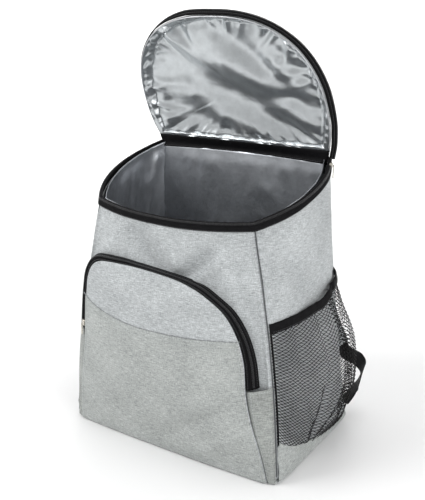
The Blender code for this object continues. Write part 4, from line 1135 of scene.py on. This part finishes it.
def lid_arch(count, low):
    turn = np.linspace(0.0, 1.0, 801)
    leg = (turn < LID_LEG) | (turn > 1 - LID_LEG)
    share = np.where(turn < 0.5, turn, 1 - turn) / LID_LEG
    v_leg = low + (LID_WIDEST - low) * share
    half = LID_HINGE_HALF + (LID_HALF_WIDTH - LID_HINGE_HALF) * np.sin(v_leg / LID_WIDEST * math.pi / 2)
    angle = math.pi * (turn - LID_LEG) / (1 - 2 * LID_LEG)
    power = 2.0 / LID_SQUARENESS
    x = LID_HALF_WIDTH * np.abs(np.cos(angle)) ** power * np.sign(np.cos(angle))
    v = LID_WIDEST + (LID_LENGTH - LID_WIDEST) * np.abs(np.sin(angle)) ** power
    x = np.where(leg, np.where(turn < 0.5, half, -half), x)
    return resample(np.stack([x, np.where(leg, v_leg, v)], -1), count)


def arch_out(path):
    return right_of(np.gradient(path, axis=0))


def lid_outline(count, bottom):
    """Ring round the lid, with its last points along the hinge."""
    top = lid_arch(count - bottom, HINGE_STRIP + 0.0003)
    share = np.arange(1, bottom)[:, None] / bottom
    return np.vstack([top, top[-1] + (top[0] - top[-1]) * share])


# Height of the lid's side, as a share, from its centre to its rim
LID_PROFILE = ((0.0, 1.0), (0.82, 1.0), (0.93, 0.93), (0.975, 0.6), (1.0, 0.0))


def lid_spots(ring, shares):
    """Places from the lid's centre to its ring, and how far its outer cloth lies behind the rim there."""
    middle = np.array((0.0, LID_CENTRE))
    spots = middle + (ring[None] - middle) * shares[:, None, None]
    rise = np.clip((spots[..., 1] - HINGE_STRIP) / LID_RISE, 0.0, 1.0)
    side = LID_RIM_LOW + (LID_RIM - LID_RIM_LOW) * np.sin(rise * math.pi / 2)
    deep = side * curve(LID_PROFILE, shares)[:, None] + LID_CROWN * (1 - shares[:, None] ** 2)
    return spots, spots[..., 0], spots[..., 1], deep


def lid_back():
    """Outer cloth of the lid, with a seam where its side meets its top."""
    ring = lid_outline(300, 60)
    shares = np.concatenate([np.linspace(0.0, 0.9, 46), np.linspace(0.91, 1.0, 26)])
    spots, x, v, deep = lid_spots(ring, shares)
    soft = 0.0008 * noise(x / 0.05, v / 0.05, 61) * smooth_step(0.0, 0.2, 1 - shares)[:, None]
    seam = hump(shares, 0.935, 0.006) - 0.9 * hump(shares, 0.922, 0.005)
    grid = lid_place(x, v, -(deep + 0.0004 + soft + 0.0010 * seam[:, None]))
    inner = lid_place(ring[:, 0] * 0.985, ring[:, 1], np.zeros(len(ring)))
    grid = np.concatenate([grid, inner[None]])
    grid_piece("lid_cloth", grid, "cloth", grown(spots, (0, 1)), "lid_panel", closed=True)
    normals = faced(grid_normals(grid, True), 30, 0, back=True)
    row = int(np.searchsorted(shares, 0.905))
    stitch("grey_thread", grid[row], normals[row])


lid_back()

# Folds of the lid's foil. Columns: start and end across and along the lid, half width, height
FOIL_FOLDS = (
    (-0.105, 0.145, -0.020, 0.085, 0.022, -0.0055), (-0.085, 0.165, -0.010, 0.125, 0.022, 0.0045),
    (-0.010, 0.150, 0.070, 0.085, 0.020, 0.0055), (0.010, 0.165, 0.060, 0.120, 0.012, -0.0035),
    (-0.010, 0.105, 0.065, 0.050, 0.020, -0.0045), (-0.060, 0.080, 0.020, 0.050, 0.018, 0.0035),
    (0.070, 0.135, 0.110, 0.085, 0.012, 0.0035), (0.085, 0.140, 0.122, 0.105, 0.009, -0.0025),
    (0.070, 0.085, 0.118, 0.082, 0.010, -0.0040), (0.060, 0.062, 0.112, 0.050, 0.012, 0.0040),
    (-0.095, 0.060, -0.030, 0.030, 0.016, -0.0030), (-0.020, 0.050, 0.060, 0.028, 0.013, 0.0028),
    (-0.122, 0.100, -0.115, 0.045, 0.009, 0.0022),
)

# Length from the lid's centre to its rim along the cloth, and the groove's distance from the rim
LID_REACH = 0.115
GROOVE = 0.0095


def puckers(x, shares, ring):
    """Short folds that run inward from the rim of the lid's foil."""
    along = lengths_of(np.vstack([ring, ring[:1]]))[:-1]
    inward = (1 - shares)[:, None] * LID_REACH
    rng = np.random.default_rng(12)
    lift = np.zeros_like(x)
    spot = 0.0
    while spot < along[-1]:
        reach = 0.012 + 0.040 * rng.random() ** 1.6
        width = 0.0022 + 0.0024 * rng.random()
        height = (0.0012 + 0.0022 * rng.random()) * (1 if rng.random() > 0.25 else -0.8)
        lean = rng.normal() * 0.35
        high = smooth_step(0.12, 0.17, np.interp(spot, along, ring[:, 1]))
        height, reach = height * (1 + 0.9 * high), reach * (1 + 0.25 * high)
        off = along[None] - spot - lean * inward
        off = (off + along[-1] / 2) % along[-1] - along[-1] / 2
        spread = width * (1 + inward / 0.020)
        lift += height * hump(off, 0.0, spread) * hump(inward, 0.0, reach) * smooth_step(0.0, 0.004, inward)
        spot += 0.0045 + 0.011 * rng.random()
    return lift, 0.0007 * noise(along / 0.0042, along * 0, 77)[None] * hump(inward, 0.0080, 0.0050)


def lid_front():
    """Foil lining of the lid: side wall, stitched groove, puckers from the rim and soft folds."""
    ring = lid_outline(500, 110)
    shares = np.concatenate([np.linspace(0.0, 0.84, 70), np.linspace(0.846, 0.992, 50)])
    spots, x, v, deep = lid_spots(ring, shares)
    lift, ripple = puckers(x, shares, ring)
    inside = smooth_step(0.985, 0.78, shares)[:, None]
    edge = (1 - shares)[:, None] * LID_REACH
    lift += 1.1 * fold(x, v, FOIL_FOLDS) * inside
    lift += 0.010 * hump(x, -0.002, 0.080) * hump(v, 0.112, 0.040) * inside
    lift += (creases(x / 0.060 + 3, v / 0.05, 71) - 0.3) * 0.0009 * inside
    lift += noise(x / 0.012, v / 0.012, 75) * 0.0002
    lift += 0.0016 * hump(edge, 0.0055, 0.0022) - 0.0022 * hump(edge, GROOVE, 0.0016)
    foil_deep = np.maximum(deep - LID_WALL - 0.0019 - lift + ripple, -0.0015)
    foil_deep = np.minimum(foil_deep, deep - 0.0012)
    bottom = smooth_step(HINGE_STRIP + 0.012, HINGE_STRIP + 0.001, v)
    grid = lid_place(x, v, -foil_deep * (1 - bottom * 0.2))
    grid_piece("lid_foil", grid, "foil", spots, "lid_lining", closed=True, flip=True)
    normals = faced(grid_normals(grid, True), 60, 0)
    row = int(np.searchsorted(shares, 1 - GROOVE / LID_REACH))
    stitch("silver_thread", grid[row], normals[row], FINE_PITCH, 0.0003)


lid_front()

# Section of the lid's tape: share of its length, thickness
LID_TAPE = (
    (0.0, 0.0), (0.1, 0.0016), (0.4, 0.0018), (0.6, 0.0014), (0.72, 0.0020), (0.85, 0.0028),
    (0.97, 0.0024), (1.0, 0.0012), (0.9, 0.0), (0.5, 0.0),
)


def lid_trims():
    """Zip tape that flares back from the rim, its coil, and the foil piping."""
    path = lid_arch(300, 0.003)
    out = arch_out(path)
    turned = smooth_step(-0.03, -0.10, path[:, 0])
    turn = np.radians(58.0 + 30.0 * turned)
    length = 0.0070 - 0.0012 * smooth_step(0.13, 0.19, path[:, 1])
    along = lengths_of(path)
    wave = 0.0004 * noise(along / 0.02, along * 0, 81) * (1 - turned)
    sections = []
    for share, thick in LID_TAPE:
        thick = thick * (1 - 0.55 * turned)
        far = length * np.cos(turn) * share + thick * np.sin(turn)
        back = length * np.sin(turn) * share - thick * np.cos(turn) * 0.4
        spot = path + out * (far + 0.0005 + wave)[:, None]
        sections.append(lid_place(spot[:, 0], spot[:, 1], -back))
    sections = np.stack(sections, 1)
    sweep_piece("lid_zip_tape", sections, "tape", "lid_zip")
    normal = out[:, :1] * RIGHT + out[:, 1:] * LID_ALONG
    coil = sections[:, 5] * 0.6 + sections[:, 6] * 0.4
    teeth("lid_zip_coil", coil, unit(normal + LID_FACING * 0.3), COIL_WIDTH, COIL_LIFT)
    stitch("black_thread", sections[:, 2], normal, FINE_PITCH)
    path = lid_arch(300, HINGE_STRIP + 0.004)
    out = arch_out(path)
    along = lengths_of(path)
    rings = []
    for side, angle in enumerate(round_angles(8)):
        radius = 0.0009 * (1 + 0.16 * noise(along / 0.006, along * 0, 83 + side % 3))
        spot = path - out * (0.0014 - radius * math.cos(angle))[:, None]
        rings.append(lid_place(spot[:, 0], spot[:, 1], 0.0011 + radius * math.sin(angle)))
    sweep_piece("lid_foil_piping", np.stack(rings, 1), "piping", "lid_piping")


lid_trims()


# Front of the hinge's strip: share of the way to the lid, how far it stands ahead
HINGE_SECTION = (
    (-0.16, 0.0036), (-0.14, 0.0052), (0.0, 0.0050), (0.1, 0.0026), (0.3, 0.0012), (0.5, 0.0010),
    (0.8, 0.0006), (1.0, 0.0),
)
# Half of the strip's thickness, and how much wider it grows towards the lid, as a share
HINGE_HALF_THICK = 0.0014
HINGE_FLARE = 0.030


def make_hinge():
    """Strip between the back and the lid, with a row of stitches on both sides."""
    share = np.linspace(-1.0, 1.0, 120)
    x = (LID_HINGE_HALF + 0.0006) * share
    y = HINGE_REACH + BACK_BOW * (1 - share ** 2)
    foot = np.stack([x, y - 0.0025, rim_height(y)], -1)
    top = lid_place(x, np.full_like(x, HINGE_STRIP + 0.001), np.zeros_like(x))
    ripple = noise(x / 0.02, x * 0, 91)

    def row(rise):
        spot = foot + (top - foot) * rise
        spot[:, 0] *= 1 + HINGE_FLARE * max(rise, 0.0)
        return spot

    rows = []
    for rise, depth in HINGE_SECTION:
        wave = depth + 0.0005 * ripple * math.sin(max(rise, 0.0) * math.pi)
        rows.append(row(rise) - BACKWARD * (HINGE_HALF_THICK + wave)[:, None])
    rows += [row(rise) + BACKWARD * HINGE_HALF_THICK for rise in (1.0, 0.5, 0.0)]
    sections = np.stack(rows, 1)
    sweep_piece("hinge_cloth", sections, "tape", "lid_hinge")
    ahead = np.tile(-BACKWARD, (len(x) - 6, 1))
    stitch("black_thread", sections[3:-3, 2], ahead)
    stitch("black_thread", sections[3:-3, 9] + BACKWARD * 0.0006, -ahead)


make_hinge()


# Net side pockets

def side_place(share, mirror):
    place = 1.0 + NET_INSET + np.asarray(share) * (1.0 - 2 * NET_INSET)
    return (5.0 - place) % 4 if mirror else place


def side_point(share, z, stand, mirror):
    place = side_place(share, mirror)
    return on_body(place, height_share(place, z), stand)


def net_seam(share):
    return NET_SEAM_FRONT + (NET_SEAM_BACK - NET_SEAM_FRONT) * curve(NET_SEAM, share)


def net_mouth(share):
    return NET_HEIGHT * curve(NET_MOUTH, share)


def net_stand(share, up):
    share = np.clip(share, 0.0, 1.0)
    drawn_in = 1 - 0.7 * smooth_step(0.5, 1.0, share) * smooth_step(0.62, 1.0, up)
    return 0.0005 + NET_BULGE * curve(NET_BULGE_ACROSS, share) * curve(NET_BULGE_UP, up) * drawn_in


# Folds of the net. Columns: start and end as shares across and up, half width, depth
NET_FOLDS = (
    (0.73, 1.0, 0.77, 0.15, 0.022, -0.0105), (0.66, 0.95, 0.70, 0.35, 0.030, 0.0045),
    (0.38, 0.0, 0.45, 0.42, 0.022, -0.0060), (0.42, 0.0, 0.60, 0.40, 0.018, 0.0035),
    (0.36, 0.0, 0.25, 0.35, 0.030, 0.0020), (0.88, 0.9, 0.90, 0.30, 0.030, 0.0030),
    (0.40, 0.0, 0.75, 0.30, 0.020, -0.0025), (0.20, 0.95, 0.24, 0.50, 0.030, -0.0020),
    (0.46, 0.98, 0.50, 0.60, 0.030, -0.0025), (0.10, 0.98, 0.12, 0.60, 0.030, 0.0012),
)


# Height of the net's black band, and half width of the black edge where the net meets the front seam
BAND_HEIGHT = 0.0115
EDGE_HALF = 0.0010
# Length of the side from seam to seam
SIDE_LENGTH = 0.19
# Net: cells across and up, how many cells its rows fall towards the back, half thickness of its two threads
NET_ACROSS = 23
NET_TALL = 74
NET_DROOP = 16.0
KNOT_THICK = 0.00068
THREAD_THICK = 0.00045
# Section of the band: share of its height, how far it stands out
BAND_SECTION = (
    (0.0, 0.0002), (0.0, 0.0020), (0.18, 0.0027), (0.5, 0.0024), (0.82, 0.0026), (1.0, 0.0018),
    (1.0, 0.0002), (0.5, -0.0001),
)
# Folds of the cloth under the net. Columns: start and end along the side and up, half width, height
SKIRT_FOLDS = ((0.0, 0.035, 0.022, 0.022, 0.0035, -0.0012), (0.0, 0.02, 0.03, 0.008, 0.004, 0.0010))


def looseness(stand):
    """How freely the net hangs, from where it is sewn to where it stands out."""
    return smooth_step(0.0, 0.25, stand / 0.010)


def net_points(spots, mirror):
    share, up = spots.T
    low = net_seam(share) - 0.0025
    top = net_mouth(share) - BINDING_HEIGHT + 0.002
    stand = net_stand(share, up)
    stand = np.maximum(stand + fold(share, up, NET_FOLDS) * looseness(stand), 0.0008)
    return side_point(share, low + (top - low) * up, stand, mirror)


def net_rods():
    """Both ends of each rod of the net, as shares across and up."""
    starts, ends = [], []
    for row in range(int(NET_TALL + NET_DROOP) + 1):
        for column in range(NET_ACROSS):
            x = column + (0.5 if row % 2 else 0.0)
            starts += [(x, row + 0.34), (x, row + 0.66), (x, row + 0.66)]
            ends += [(x, row + 0.66), (x - 0.5, row + 1.34), (x + 0.5, row + 1.34)]
    rods = np.array((starts, ends)) / (NET_ACROSS - 0.5, NET_TALL)
    rods[..., 1] -= rods[..., 0] * NET_DROOP / NET_TALL
    rods = rods[:, (rods.min((0, 2)) >= 0) & (rods.max((0, 2)) <= 1.0)]
    u, v = rods[..., 0], rods[..., 1]
    drift = 0.0035 * np.stack([noise(u * 17, v * 13, 95), noise(u * 15, v * 16, 96)], -1)
    return np.clip(rods + drift, 0, 1)


def make_net(suffix, mirror):
    """Knotted net of six-sided cells, one small rod for each side of a cell."""
    starts, ends = net_rods()
    a, b = net_points(starts, mirror), net_points(ends, mirror)
    out = outward(side_place((starts[:, 0] + ends[:, 0]) / 2, mirror), 0.3)
    along = unit(b - a)
    side = unit(np.cross(out, along))
    upright = np.abs(ends[:, 0] - starts[:, 0]) * NET_ACROSS < 0.2
    thick = np.where(upright, KNOT_THICK, THREAD_THICK)
    sizes = np.stack([np.linalg.norm(b - a, axis=1) * 1.12, thick, thick * 0.85], -1)
    radius = 0.8 * 1.3
    points = [(end, radius * math.cos(angle + math.pi / 4), radius * math.sin(angle + math.pi / 4))
              for end in (-0.5, 0.5) for angle in round_angles(4)]
    faces = [(0, 1, 5, 4), (1, 2, 6, 5), (2, 3, 7, 6), (3, 0, 4, 7), (3, 2, 1, 0), (4, 5, 6, 7)]
    repeat_piece("net_" + suffix, (np.array(points), np.array(faces)), (a + b) / 2, along, side,
                 np.cross(along, side), sizes, "net", "net_pocket_" + suffix)


def make_net_band(suffix, mirror):
    """Black tape along the net's mouth, and the black edge at the front seam."""
    share = np.linspace(0.0, 1.0, 160)
    foot = net_mouth(share) - BAND_HEIGHT + 0.0015
    stand = net_stand(share, 1.0)
    loose = smooth_step(0, 0.4, stand / 0.01)
    stand = np.maximum(stand + fold(share, np.ones_like(share), NET_FOLDS) * 0.2 * loose, 0.0006)
    ripple = 0.0002 * noise(share * 40, share * 0, 97)
    sections = np.stack([side_point(share, foot + BAND_HEIGHT * rise + ripple * 2,
                                    stand + depth - 0.001 * rise + ripple, mirror)
                         for rise, depth in BAND_SECTION], 1)
    if mirror:
        sections = sections[:, ::-1]
    sweep_piece("net_band_" + suffix, sections, "tape", "net_binding_" + suffix)
    line = side_point(share, foot + BAND_HEIGHT * 0.2, stand + 0.0027, mirror)
    place = side_place(share, mirror)
    out = outward(place, height_share(place, foot))
    stitch("black_thread", line[2:-2], out[2:-2], FINE_PITCH)

    low = net_seam(0.0) - 0.004
    z = low + (net_mouth(0.0) - BAND_HEIGHT * 0.5 - low) * np.linspace(0.0, 1.0, 90)
    half = EDGE_HALF / SIDE_LENGTH
    rings = [side_point(0.004 + half * math.cos(angle), z, 0.0019 + 0.0012 * math.sin(angle), mirror)
             for angle in round_angles(8)]
    sweep_piece("net_edge_" + suffix, np.stack(rings, 1), "tape")


def make_skirt(suffix, mirror):
    """Cloth below the net, with a sewn upper edge."""
    rows, columns = 40, 150
    share, level = np.meshgrid(np.linspace(0.0, 1.0, columns), np.linspace(0.0, 1.0, rows))
    z = 0.0012 + (net_seam(share) + 0.0015 - 0.0012) * level
    top = net_seam(share) - z
    lift = 0.0026 + 0.0006 * hump(top, 0.003, 0.0016) - 0.0008 * hump(top, 0.0, 0.0008)
    lift += fold(share * SIDE_LENGTH, z, SKIRT_FOLDS) + 0.0004 * noise(share * 9, z / 0.02, 99)
    lift -= 0.0045 * smooth_step(0.008, 0.0, z) ** 2
    inner = side_point(share[-1:], z[-1:], np.full((1, columns), 0.0004), mirror)
    grid = np.concatenate([side_point(share, z, lift, mirror), inner])
    uv = grown(np.stack([share * SIDE_LENGTH, z], -1), (0, 1))
    grid_piece("skirt_cloth_" + suffix, grid, "warm_cloth", uv, "side_skirt_" + suffix, flip=mirror)
    share = share[-1]
    line = side_point(share, net_seam(share) - 0.003, np.full(columns, 0.0034), mirror)
    stitch("grey_thread", line[2:-2], outward(side_place(share, mirror), 0.1)[2:-2])


for suffix, mirror in (("right", False), ("left", True)):
    make_net(suffix, mirror)
    make_net_band(suffix, mirror)
    make_skirt(suffix, mirror)


# Shoulder straps

def soft_band(name, centres, widths, axes, thickness, finish, node_name, crown=0.0, power=2.6):
    """Band with a rounded section along its centres, with its piece, its axis across and its face."""
    along = unit(np.gradient(centres, axis=0))
    axis = unit(axes - along * (axes * along).sum(1, keepdims=True))
    face = unit(np.cross(along, axis))
    rings = []
    for angle in round_angles(36):
        c, s = math.cos(angle), math.sin(angle)
        x = np.sign(c) * abs(c) ** (2.0 / (power * 2.2)) * widths / 2
        y = np.sign(s) * abs(s) ** (2.0 / power) * thickness / 2
        rings.append(centres + axis * x[:, None] + face * (y + crown * s))
    return sweep_piece(name, np.stack(rings, 1), finish, node_name), axis, face


def route(table, sign, back=0.0):
    """Points of a strap, from shares of the bag's sizes."""
    return [np.array((sign * BASE_WIDTH * x, back + BASE_DEPTH * y, HINGE_HEIGHT * z)) for x, y, z in table]


def make_strap(suffix, sign):
    """Padded strap with stitched edges, and its webbing down to the low back corner."""
    back = body(2.5, 0.9)[1] + STRAP_THICKNESS / 2 + 0.0008
    centres = spline(route(STRAP_PATH, sign, back), 170)
    share = np.linspace(0.0, 1.0, len(centres))
    widths = STRAP_WIDTH * curve(STRAP_TAPER, share) * (1 - 0.03 * np.abs(noise(share * 18, share * 0, 101)))
    root, tip = np.array((sign * 1.0, 0.0, 0.0)), np.array((sign * 0.75, 0.1, 0.75))
    axes = root + (tip - root) * share[:, None]
    strap, axis, face = soft_band("strap_pad_" + suffix, centres, widths, axes, STRAP_THICKNESS * 0.94,
                                  "cloth", "shoulder_strap_" + suffix, 0.0004)
    aside = axis * (widths / 2 - 0.0062)[:, None]
    for side in (-1, 1):
        for top in (-1, 1):
            line = centres + aside * side + face * (top * STRAP_THICKNESS * 0.485)
            stitch("grey_thread", line[3:-3], face[3:-3] * top)
    heading = unit(centres[-1] - centres[-2])
    place = np.array(2.0 if sign > 0 else 2.99999)
    anchor = on_body(place, height_share(place, WEBBING_ANCHOR), 0.0012)
    start = [centres[-1] - heading * 0.002, centres[-1] + heading * 0.012]
    path = spline(start + route(WEBBING_PATH, sign) + [anchor], 120)
    share = np.linspace(0.0, 1.0, len(path))
    top, foot = np.array((sign * 0.16, 0.96, 0.23)), np.array((-sign * 0.27, 0.91, 0.33))
    axes = top + (foot - top) * curve(WEBBING_TWIST, share)[:, None]
    soft_band("webbing_" + suffix, path, np.full(len(path), WEBBING_WIDTH), axes, WEBBING_THICKNESS,
              "webbing", "strap_webbing_" + suffix, power=4.0)


make_strap("right", 1)
make_strap("left", -1)
make_stitches()

CAD_FINISH = {"base_panel": "cad_cloth", "main_slider": "metal", "main_pull": "metal",
              "pocket_slider": "metal", "pocket_pull": "metal"}
for name, finish in CAD_FINISH.items():
    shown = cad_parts[name]
    if not shown.material_slots:
        shown.data.materials.append(FINISH[finish])
    for slot in shown.material_slots:
        slot.material = FINISH[finish]
